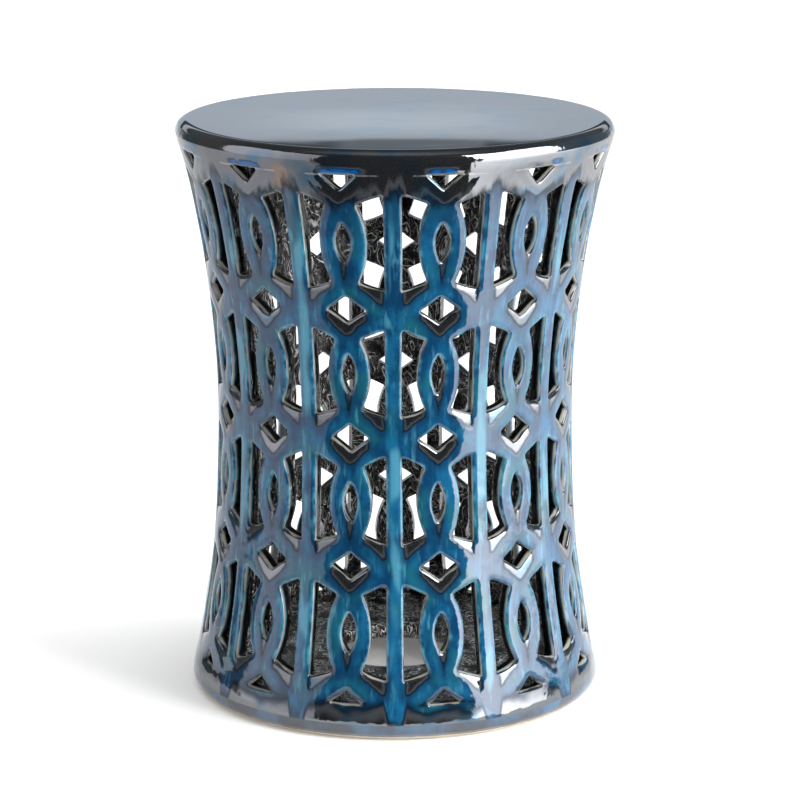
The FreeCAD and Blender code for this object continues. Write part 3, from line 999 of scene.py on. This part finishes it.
def make_object(name, fmask, mat):
    F = ALLF[fmask]
    used, back = np.unique(F.ravel(), return_inverse=True)
    me = bpy.data.meshes.new(name)
    n, m = len(used), len(F)
    me.vertices.add(n)
    me.vertices.foreach_set("co", (ALLV[used] / 1000.0).astype(np.float32).ravel())
    me.loops.add(3 * m)
    me.polygons.add(m)
    me.polygons.foreach_set("loop_start", np.arange(m, dtype=np.int32) * 3)
    me.loops.foreach_set("vertex_index", back.astype(np.int32))
    me.update(calc_edges=True)
    me.validate(clean_customdata=False)
    for an, data in (("rim", rim), ("relief", rel), ("inner", inn), ("flat", flat_d)):
        a = me.attributes.new(an, "FLOAT", "POINT")
        a.data.foreach_set("value", data[used].astype(np.float32))
    a = me.attributes.new("ground", "FLOAT", "CORNER")
    a.data.foreach_set("value", np.repeat(ground_face[fmask], 3).astype(np.float32))
    me.polygons.foreach_set("use_smooth", np.ones(m, bool))
    me.normals_split_custom_set(corner_n[fmask].reshape(-1, 3).astype(np.float32))
    me.materials.append(mat)
    ob = bpy.data.objects.new(name, me)
    bpy.context.scene.collection.objects.link(ob)
    return ob


# ------------------------------------------------------------------ materials
def new_material(name):
    mt = bpy.data.materials.new(name)
    mt.use_nodes = True
    nt = mt.node_tree
    nt.nodes.clear()
    out = nt.nodes.new("ShaderNodeOutputMaterial")
    bs = nt.nodes.new("ShaderNodeBsdfPrincipled")
    nt.links.new(bs.outputs[0], out.inputs[0])
    return mt, nt, bs


class Kit:
    """Short hand for building node trees."""

    def __init__(self, nt):
        self.nt = nt

    def put(self, sock, v):
        if isinstance(v, bpy.types.NodeSocket):
            self.nt.links.new(v, sock)
        elif hasattr(sock, "default_value"):
            if isinstance(v, (tuple, list)) and len(v) == 3 and len(sock.default_value) == 4:
                v = (*v, 1.0)
            sock.default_value = v

    def attr(self, name):
        n = self.nt.nodes.new("ShaderNodeAttribute")
        n.attribute_name = name
        return n.outputs["Fac"]

    def obj(self):
        return self.nt.nodes.new("ShaderNodeTexCoord").outputs["Object"]

    def math(self, op, a, b=0.0, c=0.0, clamp=False):
        n = self.nt.nodes.new("ShaderNodeMath")
        n.operation = op
        n.use_clamp = clamp
        self.put(n.inputs[0], a)
        self.put(n.inputs[1], b)
        self.put(n.inputs[2], c)
        return n.outputs[0]

    def vec(self, op, a, b=(0, 0, 0)):
        n = self.nt.nodes.new("ShaderNodeVectorMath")
        n.operation = op
        self.put(n.inputs[0], a)
        self.put(n.inputs[1], b)
        return n.outputs[0]

    def noise(self, vec, scale, detail=2.0, rough=0.5, dist=0.0):
        n = self.nt.nodes.new("ShaderNodeTexNoise")
        self.put(n.inputs["Vector"], vec)
        n.inputs["Scale"].default_value = scale
        n.inputs["Detail"].default_value = detail
        n.inputs["Roughness"].default_value = rough
        n.inputs["Distortion"].default_value = dist
        return n.outputs[0]

    def voronoi(self, vec, scale):
        n = self.nt.nodes.new("ShaderNodeTexVoronoi")
        self.put(n.inputs["Vector"], vec)
        n.inputs["Scale"].default_value = scale
        return n.outputs["Distance"]

    def ramp(self, f, a, b, lo=0.0, hi=1.0, smoothstep=True):
        n = self.nt.nodes.new("ShaderNodeMapRange")
        n.interpolation_type = "SMOOTHSTEP" if smoothstep else "LINEAR"
        self.put(n.inputs["Value"], f)
        for k, v in (("From Min", a), ("From Max", b), ("To Min", lo), ("To Max", hi)):
            self.put(n.inputs[k], v)
        return n.outputs[0]

    def mix(self, f, a, b, mode="MIX"):
        n = self.nt.nodes.new("ShaderNodeMix")
        n.data_type = "RGBA"
        n.blend_type = mode
        self.put(n.inputs[0], f)
        self.put(n.inputs[6], a)
        self.put(n.inputs[7], b)
        return n.outputs[2]

    def sep(self, v):
        n = self.nt.nodes.new("ShaderNodeSeparateXYZ")
        self.put(n.inputs[0], v)
        return n.outputs

    def comb(self, x, y, z):
        n = self.nt.nodes.new("ShaderNodeCombineXYZ")
        for s_, v in zip(n.inputs, (x, y, z)):
            self.put(s_, v)
        return n.outputs[0]

    def bump(self, h, strength, dist):
        n = self.nt.nodes.new("ShaderNodeBump")
        n.inputs["Strength"].default_value = strength
        n.inputs["Distance"].default_value = dist
        self.put(n.inputs["Height"], h)
        return n.outputs[0]


def crinkle(k, obj):
    """The hand-worked clay inside the drum: height of its folds, and a mask of fine ridges on them that the glaze
    paints near white as highlight lines.
    """
    up = k.vec("MULTIPLY", obj, (1.0, 1.0, 0.5))
    folds = k.noise(up, 150.0, 2.0, 0.55, 1.6)
    swirl = k.noise(up, 125.0, 1.5, 0.5, 2.6)
    off = k.math("ABSOLUTE", k.math("SUBTRACT", swirl, 0.5))
    off2 = k.math("ABSOLUTE", k.math("SUBTRACT", k.noise(obj, 210.0, 1.0, 0.5, 1.8), 0.52))
    ridge_glint_mask = k.math("MAXIMUM", k.ramp(off, 0.004, 0.034, 1.0, 0.0), k.math("MULTIPLY", k.ramp(off2, 0.003, 0.024, 1.0, 0.0), 0.7))
    contour = k.math("FRACT", k.math("MULTIPLY", k.noise(up, 62.0, 1.0, 0.4, 1.8), 7.0))
    contour = k.ramp(k.math("ABSOLUTE", k.math("SUBTRACT", contour, 0.5)), 0.36, 0.46)
    ridge_glint_mask = k.math("MAXIMUM", k.math("MULTIPLY", ridge_glint_mask, 0.55), contour)
    patch = k.ramp(k.noise(obj, 46.0, 2.0, 0.5), 0.34, 0.48)
    ridge_glint_mask = k.math("MULTIPLY", ridge_glint_mask, patch)
    h = k.math("ADD", folds, k.math("MULTIPLY", off, -2.2))
    return k.math("ADD", h, k.math("MULTIPLY", ridge_glint_mask, 0.25)), ridge_glint_mask


def cell_angle(k, x, y):
    """Degrees round the drum from the nearest eye's middle: 0 there, 13.8 at a bar's middle."""
    a = k.math("DEGREES", k.math("ARCTAN2", x, k.math("MULTIPLY", y, -1.0)))
    q = k.math("FRACT", k.math("ADD", k.math("DIVIDE", a, STEP), 20.0))
    return k.math("MULTIPLY", k.math("ABSOLUTE", k.math("SUBTRACT", q, 0.5)), STEP)


def blue_glaze(name):
    mt, nt, bs = new_material(name)
    k = Kit(nt)
    obj = k.obj()
    rel_, rim_, inn_, flat_ = (k.attr(n) for n in ("relief", "rim", "inner", "flat"))
    x, y, z = k.sep(obj)
    cell = cell_angle(k, x, y)
    stretch = k.vec("MULTIPLY", obj, (1.0, 1.0, 0.16))       # runs of glaze down the bars
    run = k.noise(stretch, 95.0, 3.0, 0.55)
    run2 = k.noise(stretch, 240.0, 2.0, 0.5)
    blot = k.noise(obj, 16.0, 3.0, 0.55)
    blot2 = k.noise(obj, 34.0, 2.0, 0.5)
    blot3 = k.noise(obj, 95.0, 3.0, 0.6)
    fine = k.noise(obj, 420.0, 2.0, 0.6)
    # raised bands: deep blue with greener and paler places
    deep = (0.0020, 0.030, 0.080, 1)
    mid = (0.0060, 0.088, 0.185, 1)
    teal = (0.0075, 0.080, 0.108, 1)
    pale = (0.080, 0.300, 0.400, 1)
    band = k.mix(k.ramp(k.math("ADD", run, k.math("MULTIPLY", blot3, 0.5)), 0.60, 0.92), deep, mid)
    band = k.mix(k.math("MULTIPLY", k.ramp(blot2, 0.48, 0.66), 0.75), band, teal)
    band = k.mix(k.math("MULTIPLY", k.ramp(run2, 0.56, 0.74), 0.42), band, pale)
    # drips down the middle of the bars, with rounded lower ends
    drip = k.noise(k.vec("MULTIPLY", obj, (1.0, 1.0, 0.30)), 52.0, 1.0, 0.5)
    drip = k.math("MULTIPLY", k.ramp(drip, 0.50, 0.60), k.ramp(cell, 11.6, 13.0))
    band = k.mix(k.math("MULTIPLY", drip, 0.58), band, pale)
    # pale within a few millimetres of the openings' edges: partly the glaze thinning there, partly a painted highlight
    # along the lips
    thin_glaze_and_glint = k.math("MULTIPLY", k.ramp(rim_, 0.5, 3.2, 1.0, 0.0), k.ramp(blot3, 0.42, 0.62))
    band = k.mix(k.math("MULTIPLY", thin_glaze_and_glint, 0.55), band, pale)
    # round a sunk flat the blue deepens to navy
    fl = k.math("ADD", flat_, k.math("MULTIPLY", k.math("SUBTRACT", blot2, 0.5), 8.0))
    near = k.ramp(fl, -1.0, 8.5, 1.0, 0.0)
    navy = (0.003, 0.024, 0.062, 1)
    band = k.mix(k.math("MULTIPLY", near, 0.78), band, navy)
    # dark lustre on the flats, the shoulder and the base
    gnd = k.ramp(k.math("ADD", flat_, k.math("MULTIPLY", k.math("SUBTRACT", blot3, 0.5), 4.2)), -3.6, 1.6, 1.0, 0.0)
    zn = k.math("ADD", z, k.math("MULTIPLY", k.math("SUBTRACT", run, 0.5), 0.034))
    onbar = k.math("MULTIPLY", k.ramp(cell, 10.4, 12.4), 0.010)
    shoulder = k.ramp(k.math("SUBTRACT", zn, onbar), 0.408, 0.432)
    zb_ = k.math("ADD", z, k.math("MULTIPLY", k.math("SUBTRACT", blot2, 0.5), 0.022))
    base = k.ramp(k.math("ADD", zb_, k.math("MULTIPLY", onbar, 1.5)), 0.014, 0.034, 1.0, 0.0)
    plain = k.math("MAXIMUM", shoulder, base)
    # blue pools along the ledge over each small top opening
    pool = k.math("MULTIPLY", k.ramp(z, 0.4388, 0.4402), k.ramp(z, 0.4412, 0.4452, 1.0, 0.0))
    pool = k.math("MULTIPLY", pool, k.ramp(k.math("ADD", cell, k.math("MULTIPLY", blot3, 3.0)), 5.0, 8.6, 1.0, 0.0))
    pool = k.math("MULTIPLY", pool, k.math("MULTIPLY", k.ramp(blot2, 0.34, 0.56), k.ramp(blot3, 0.30, 0.55)))
    plain = k.math("MULTIPLY", plain, k.math("SUBTRACT", 1.0, pool))
    metal = k.math("MAXIMUM", gnd, plain)
    high = k.ramp(k.math("ADD", z, k.math("MULTIPLY", k.math("SUBTRACT", run, 0.5), 0.05)), 0.378, 0.420)
    band = k.mix(k.math("MULTIPLY", high, 0.75), band, navy)
    metal = k.math("MULTIPLY", metal, k.math("SUBTRACT", 1.0, k.math("MULTIPLY", pool, 0.9)))
    lustre = k.mix(blot, (0.160, 0.175, 0.190, 1), (0.190, 0.186, 0.188, 1))
    lustre = k.mix(k.math("MULTIPLY", k.ramp(blot2, 0.50, 0.70), 0.75), lustre, (0.070, 0.150, 0.220, 1))
    band = k.mix(pool, band, (0.003, 0.070, 0.230, 1))
    band = k.mix(k.ramp(metal, 0.0, 0.45), band, k.mix(pool, (0.004, 0.012, 0.024, 1), (0.003, 0.070, 0.230, 1)))
    col = k.mix(k.ramp(metal, 0.35, 1.0), band, lustre)
    metal = k.math("MULTIPLY", metal, 0.96)
    # thin glaze on the lips of the openings: cream clay shows through
    lipn = k.math("ADD", rim_, k.math("MULTIPLY", k.math("SUBTRACT", k.noise(obj, 60.0, 2.0, 0.5), 0.45), 2.4))
    lip = k.math("MULTIPLY", k.ramp(lipn, 0.02, 0.50, 1.0, 0.0), k.ramp(rim_, -1.5, -0.4))
    lip = k.math("MULTIPLY", lip, k.ramp(inn_, 0.0, 0.15, 1.0, 0.0))
    # painted highlight: a pale line along the lower edge of the ledge over each small top opening, where the ledge
    # would catch the light
    ledge = k.math("MULTIPLY", k.ramp(z, 0.4372, 0.4380), k.ramp(z, 0.4384, 0.4394, 1.0, 0.0))
    ledge = k.math("MULTIPLY", ledge, k.ramp(k.math("ADD", cell, k.math("MULTIPLY", k.math("SUBTRACT", blot2, 0.5), 2.0)), 9.2, 9.9, 1.0, 0.0))
    lip = k.math("MAXIMUM", lip, k.math("MULTIPLY", k.math("MULTIPLY", ledge, k.ramp(blot3, 0.30, 0.62, 0.10, 0.50)), k.ramp(inn_, 0.0, 0.15, 1.0, 0.0)))
    # cream on the thin-glazed lips of the openings, plus the painted highlight line on each ledge
    col = k.mix(k.math("MULTIPLY", lip, 0.68), col, (0.52, 0.51, 0.43, 1))
    # inside and in the cut walls: nearly black lustre, with painted near-white highlight lines along the crinkle ridges
    h_in, ridge_glint_mask = crinkle(k, obj)
    wall = k.math("MAXIMUM", k.ramp(inn_, 0.05, 0.6), k.ramp(rim_, -0.5, -1.6))
    wall = k.math("MULTIPLY", wall, k.math("SUBTRACT", 1.0, lip))
    inside_m = k.ramp(inn_, 0.8, 0.98)
    ridge_glint_mask = k.math("MULTIPLY", ridge_glint_mask, inside_m)
    dark = k.mix(blot2, (0.026, 0.026, 0.027, 1), (0.058, 0.056, 0.055, 1))
    # painted highlight: the ridge lines are painted near white, with less metal, to stand for glints on the glaze
    # crests
    dark = k.mix(ridge_glint_mask, dark, (0.90, 0.89, 0.86, 1))
    col = k.mix(wall, col, dark)
    metal = k.math("MAXIMUM", metal, k.math("MULTIPLY", wall, k.math("SUBTRACT", 1.0, k.math("MULTIPLY", ridge_glint_mask, 0.85))))
    metal = k.mix(lip, metal, (0.22, 0.22, 0.22, 1))
    nt.links.new(col, bs.inputs["Base Color"])
    nt.links.new(metal, bs.inputs["Metallic"])
    top = k.ramp(z, 0.4535, 0.4560, 1.0, 0.0)
    rough = k.math("ADD", 0.035, k.math("MULTIPLY", fine, 0.035))
    rough = k.math("MULTIPLY", rough, k.ramp(top, 0.0, 1.0, 0.30, 1.0))
    rough = k.math("ADD", rough, k.math("MULTIPLY", k.math("MULTIPLY", k.ramp(blot, 0.5, 0.8), 0.05), top))
    nt.links.new(rough, bs.inputs["Roughness"])
    bs.inputs["IOR"].default_value = 1.62
    hgt = k.math("ADD", k.math("MULTIPLY", k.noise(obj, 55.0, 2.0, 0.5), 0.45),
                 k.math("MULTIPLY", k.noise(obj, 150.0, 2.0, 0.5), 0.12))
    hgt = k.math("MULTIPLY", hgt, top)
    hgt = k.math("ADD", hgt, k.math("MULTIPLY", h_in, k.ramp(inn_, 0.55, 0.95, 0.0, 0.9)))
    nt.links.new(k.bump(hgt, 1.0, 0.0009), bs.inputs["Normal"])
    return mt


def foot_clay(name):
    """Glaze runs down to a wavering line; below it the clay is bare."""
    mt, nt, bs = new_material(name)
    k = Kit(nt)
    obj = k.obj()
    z = k.sep(obj)[2]
    n = k.noise(obj, 40.0, 3.0, 0.6)
    zz = k.math("ADD", z, k.math("MULTIPLY", k.math("SUBTRACT", n, 0.5), 0.0022))
    bare = k.ramp(zz, 0.0030, 0.0038, 1.0, 0.0)
    edge = k.math("MULTIPLY", k.ramp(zz, 0.0036, 0.0046), k.ramp(zz, 0.0046, 0.0062, 1.0, 0.0))
    grain = k.noise(obj, 900.0, 3.0, 0.7)
    clay = k.mix(grain, (0.44, 0.36, 0.26, 1), (0.66, 0.58, 0.46, 1))
    glaze = k.mix(k.ramp(k.noise(obj, 26.0, 3.0, 0.5), 0.42, 0.62), (0.030, 0.038, 0.052, 1), (0.040, 0.095, 0.165, 1))
    glaze = k.mix(k.math("MULTIPLY", edge, 0.5), glaze, (0.25, 0.20, 0.14, 1))
    nt.links.new(k.mix(bare, glaze, clay), bs.inputs["Base Color"])
    nt.links.new(k.ramp(bare, 0.0, 1.0, 0.10, 0.85), bs.inputs["Roughness"])
    bs.inputs["IOR"].default_value = 1.8
    nt.links.new(k.bump(k.math("ADD", k.math("MULTIPLY", grain, bare), k.noise(obj, 60.0, 2.0, 0.5)), 0.4, 0.0005),
                 bs.inputs["Normal"])
    return mt


m_blue, m_dark, m_foot = blue_glaze("blue_glaze_surface"), blue_glaze("dark_glaze_surface"), foot_clay("foot_surface")

REPLACES = {
    "seat_glazed": ("seat_slab",),
    "shoulder_glazed": ("shoulder_band",),
    "openwork_highest": ("eye_bands_highest", "upright_bars"),
    "openwork_upper": ("eye_bands_upper", "upright_bars"),
    "openwork_lower": ("eye_bands_lower", "upright_bars"),
    "openwork_lowest": ("eye_bands_lowest", "upright_bars"),
    "base_band_glazed": ("base_band",),
    "floor_slab_glazed": ("floor_slab",),
    "foot_glazed": ("foot_ring",),
}
MATS = {"floor_slab_glazed": m_dark, "foot_glazed": m_foot}
for i, nm in enumerate(names):
    ob = make_object(nm, ALLP == i, MATS.get(nm, m_blue))
    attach(ob, "root")
    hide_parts(*REPLACES[nm])
    print("piece", nm, "faces", len(ob.data.polygons))

# ------------------------------------------------------------------ stage
def flat_mesh(name, rings, seg=96):
    """Annulus or disc on the floor, from a list of radii."""
    P, F = [], []
    for r in rings:
        if r == 0:
            P.append((0, 0, 0))
        else:
            P += [(r * math.cos(2 * math.pi * j / seg), r * math.sin(2 * math.pi * j / seg), 0) for j in range(seg)]
    start = 0
    if rings[0] == 0:
        F += [(0, 1 + j, 1 + (j + 1) % seg) for j in range(seg)]
        start = 1
    for k in range(len([r for r in rings if r]) - 1):
        a, b = start + k * seg, start + (k + 1) * seg
        F += [(a + j, b + j, b + (j + 1) % seg, a + (j + 1) % seg) for j in range(seg)]
    me = bpy.data.meshes.new(name)
    me.from_pydata(P, [], F)
    me.update()
    ob = bpy.data.objects.new(name, me)
    bpy.context.scene.collection.objects.link(ob)
    return ob


mt, nt, bs = new_material("floor_paper")
k = Kit(nt)
fcol = k.mix(k.noise(k.obj(), 3.0, 2.0, 0.5), (0.870, 0.862, 0.850, 1), (0.905, 0.897, 0.885, 1))
nt.links.new(fcol, bs.inputs["Base Color"])
bs.inputs["Emission Color"].default_value = (1.0, 0.985, 0.96, 1)
bs.inputs["Emission Strength"].default_value = 0.13
bs.inputs["Roughness"].default_value = 0.9
bs.inputs["Specular IOR Level"].default_value = 0.1
near_floor = flat_mesh("floor_near", [0, 0.1, 0.2, 0.42])
far_floor = flat_mesh("floor_far", [0.42, 0.8, 2.0, 8.0, 40.0])
far_floor.visible_glossy = False
for o in (near_floor, far_floor):
    o.data.materials.append(mt)

# world: a dark front, a soft light at each side, a pale far wall behind and a pale floor
world = bpy.data.worlds.new("studio")
bpy.context.scene.world = world
world.use_nodes = True
wt = world.node_tree
wt.nodes.clear()
k = Kit(wt)
dirv = wt.nodes.new("ShaderNodeTexCoord").outputs["Generated"]
nv = k.vec("NORMALIZE", dirv)
x, y, z = k.sep(nv)
az = k.math("DEGREES", k.math("ARCTAN2", x, k.math("MULTIPLY", y, -1.0)))     # 0 is -Y, + is to the right
el = k.math("DEGREES", k.math("ARCSINE", z))
aa = k.math("ABSOLUTE", az)
right_ = k.ramp(az, -5.0, 5.0)
wob = k.noise(nv, 3.2, 2.0, 0.5)
wob = k.math("SUBTRACT", wob, 0.5)


def grey(v, tint=(1, 1, 1)):
    return k.comb(*(k.math("MULTIPLY", v, t) for t in tint))


def add(*v):
    out = v[0]
    for w in v[1:]:
        out = k.math("ADD", out, w)
    return out


# strength of each side light by height
r_val = add(2.3, k.ramp(el, -42.0, -14.0, 0.0, 1.5), k.ramp(el, -12.5, -9.5, 0.0, 2.3), k.ramp(el, 4.0, 24.0, 0.0, 4.0))
r_val = k.math("MULTIPLY", r_val, k.ramp(aa, 50.0, 88.0, 1.35, 0.84))
l_val = add(0.72, k.ramp(el, -50.0, -14.0, 0.0, 0.22), k.ramp(el, -13.0, -9.0, 0.0, 0.42))
l_val = k.math("MULTIPLY", l_val, k.ramp(aa, 46.0, 84.0, 0.78, 1.22))
soft = k.mix(right_, grey(l_val, (1.0, 1.0, 1.06)), grey(r_val, (1.0, 1.0, 1.01)))
ceil_c = (0.055, 0.065, 0.075, 1)
front_c = (0.024, 0.028, 0.033, 1)
soft = k.mix(k.ramp(el, 47.5, 50.5), soft, ceil_c)
# behind: dark walls at the sides, a pale wall in the middle, a pale floor below
wall_c = k.mix(right_, (0.15, 0.15, 0.140, 1), (0.13, 0.19, 0.24, 1))
far_v = add(0.68, k.math("MULTIPLY", k.math("MULTIPLY", k.ramp(el, 8.15, 8.5), k.ramp(el, 8.8, 8.62, 0.0, 1.0)),
                         k.ramp(aa, 176.6, 179.4, 0.0, 0.17)))
far_edge = k.math("ADD", el, k.math("MULTIPLY", k.math("SUBTRACT", k.noise(nv, 60.0, 1.0, 0.5), 0.5), 0.05))
smudge = k.mix(right_, k.ramp(aa, 178.7, 179.2, 1.0, 0.0), k.ramp(aa, 178.2, 178.5, 1.0, 0.0))
strip_c = k.mix(smudge, (0.19, 0.215, 0.245, 1), (0.050, 0.066, 0.085, 1))
far_v = k.mix(k.ramp(far_edge, 8.84, 8.90), grey(far_v, (0.88, 1.0, 1.13)), strip_c)
far_v = k.mix(k.math("MULTIPLY", k.ramp(el, 11.5, 13.0), k.ramp(el, 18.5, 16.5, 0.0, 1.0)), far_v, (0.78, 0.82, 0.86, 1))
far_v = k.mix(k.ramp(el, 18.0, 21.0), far_v, (0.12, 0.13, 0.14, 1))
far_v = k.mix(k.ramp(el, 30.0, 50.0), far_v, ceil_c)
behind = k.mix(k.ramp(aa, 141.0, 156.0), wall_c, far_v)
behind = k.mix(k.ramp(el, 34.0, 50.0), behind, ceil_c)
low_c = k.mix(right_, (0.93, 0.93, 0.96, 1), (1.85, 1.87, 1.92, 1))
low_c = k.mix(k.ramp(aa, 120.0, 170.0), low_c, (0.95, 0.96, 0.98, 1))
el_b = k.math("SUBTRACT", el, k.math("ADD", k.math("MULTIPLY", right_, 5.5), 1.5))
behind = k.mix(k.ramp(el_b, -13.0, -9.5, 1.0, 0.0), behind, low_c)
behind = k.mix(k.math("MULTIPLY", k.ramp(aa, 141.0, 156.0), k.ramp(el, -1.0, 1.0, 1.0, 0.0)), behind, low_c)
edge_az = k.math("ADD", 97.0, k.math("MULTIPLY", k.math("MAXIMUM", el, -12.0), 0.33))
edge_az = k.math("SUBTRACT", edge_az, k.math("MULTIPLY", right_, 4.0))
past = k.ramp(k.math("SUBTRACT", aa, edge_az), -1.0, 1.6)
past = k.mix(k.ramp(el_b, -14.0, -10.0, 1.0, 0.0), past, k.ramp(aa, 96.0, 124.0))
col = k.mix(past, soft, behind)
front_col = k.mix(k.ramp(el, 44.0, 60.0), front_c, ceil_c)
start_az = k.math("ADD", 44.2, k.math("MULTIPLY", wob, 5.0))
col = k.mix(k.ramp(k.math("SUBTRACT", aa, start_az), -0.9, 0.9), front_col, col)
# a pale ceiling high above
col = k.mix(k.ramp(el, 58.0, 84.0), col, (0.40, 0.43, 0.47, 1))
# a warm patch low in the left light
wx = k.math("DIVIDE", k.math("SUBTRACT", az, -71.0), 8.0)
wz = k.math("DIVIDE", k.math("SUBTRACT", el, -35.0), 7.0)
wd = k.math("ADD", k.math("MULTIPLY", wx, wx), k.math("MULTIPLY", wz, wz))
col = k.mix(k.ramp(wd, 0.1, 1.1, 0.6, 0.0), col, (1.75, 1.10, 0.72, 1))
# what the matt surfaces are lit by
amb = k.mix(k.ramp(az, -70.0, 60.0), (0.13, 0.135, 0.15, 1), (0.86, 0.87, 0.89, 1))
amb = k.mix(k.ramp(el, 20.0, 70.0), amb, (0.66, 0.67, 0.69, 1))
lp = wt.nodes.new("ShaderNodeLightPath")
col = k.mix(lp.outputs["Is Diffuse Ray"], col, amb)
white = k.mix(lp.outputs["Is Camera Ray"], col, (1.0, 1.0, 0.995, 1))
bg = wt.nodes.new("ShaderNodeBackground")
wt.links.new(white, bg.inputs["Color"])
bg.inputs["Strength"].default_value = 1.0
wo = wt.nodes.new("ShaderNodeOutputWorld")
wt.links.new(bg.outputs[0], wo.inputs[0])
world.cycles.sampling_method = "MANUAL"
world.cycles.sample_map_resolution = 512


def area(name, pos, size, power, colour=(1, 1, 1), target=(0, 0, 0.2)):
    ld = bpy.data.lights.new(name, "AREA")
    ld.shape = "RECTANGLE"
    ld.size, ld.size_y = size
    ld.energy = power
    ld.color = colour
    ob = bpy.data.objects.new(name, ld)
    ob.location = pos
    ob.rotation_mode = "QUATERNION"
    ob.rotation_quaternion = (Vector(target) - Vector(pos)).to_track_quat("-Z", "Y")
    bpy.context.scene.collection.objects.link(ob)
    return ob


key = area("key", (1.3, 0.1, 2.0), (1.8, 1.8), 9.0)
key.visible_glossy = False
side_key = area("front_right", (1.5, -1.5, 1.1), (1.3, 1.3), 6.0)
side_key.visible_glossy = False
fill = area("overhead", (0.0, 0.3, 2.6), (3.2, 3.2), 44.0)
fill.visible_glossy = False

# camera
cam_d = bpy.data.cameras.new("camera")
cam_d.sensor_width = 36.0
cam_d.lens = 3170.8 / 800 * 36.0
cam_d.clip_start, cam_d.clip_end = 0.05, 200.0
cam = bpy.data.objects.new("camera", cam_d)
cam.location = (0.0, -2.4559, 0.82186)
cam.rotation_mode = "XYZ"
cam.rotation_euler = (math.radians(90 - 13.558), 0.0, math.radians(-0.091))
bpy.context.scene.collection.objects.link(cam)
bpy.context.scene.camera = cam
bpy.context.scene.view_settings.view_transform = "Standard"
bpy.context.scene.view_settings.look = "None"
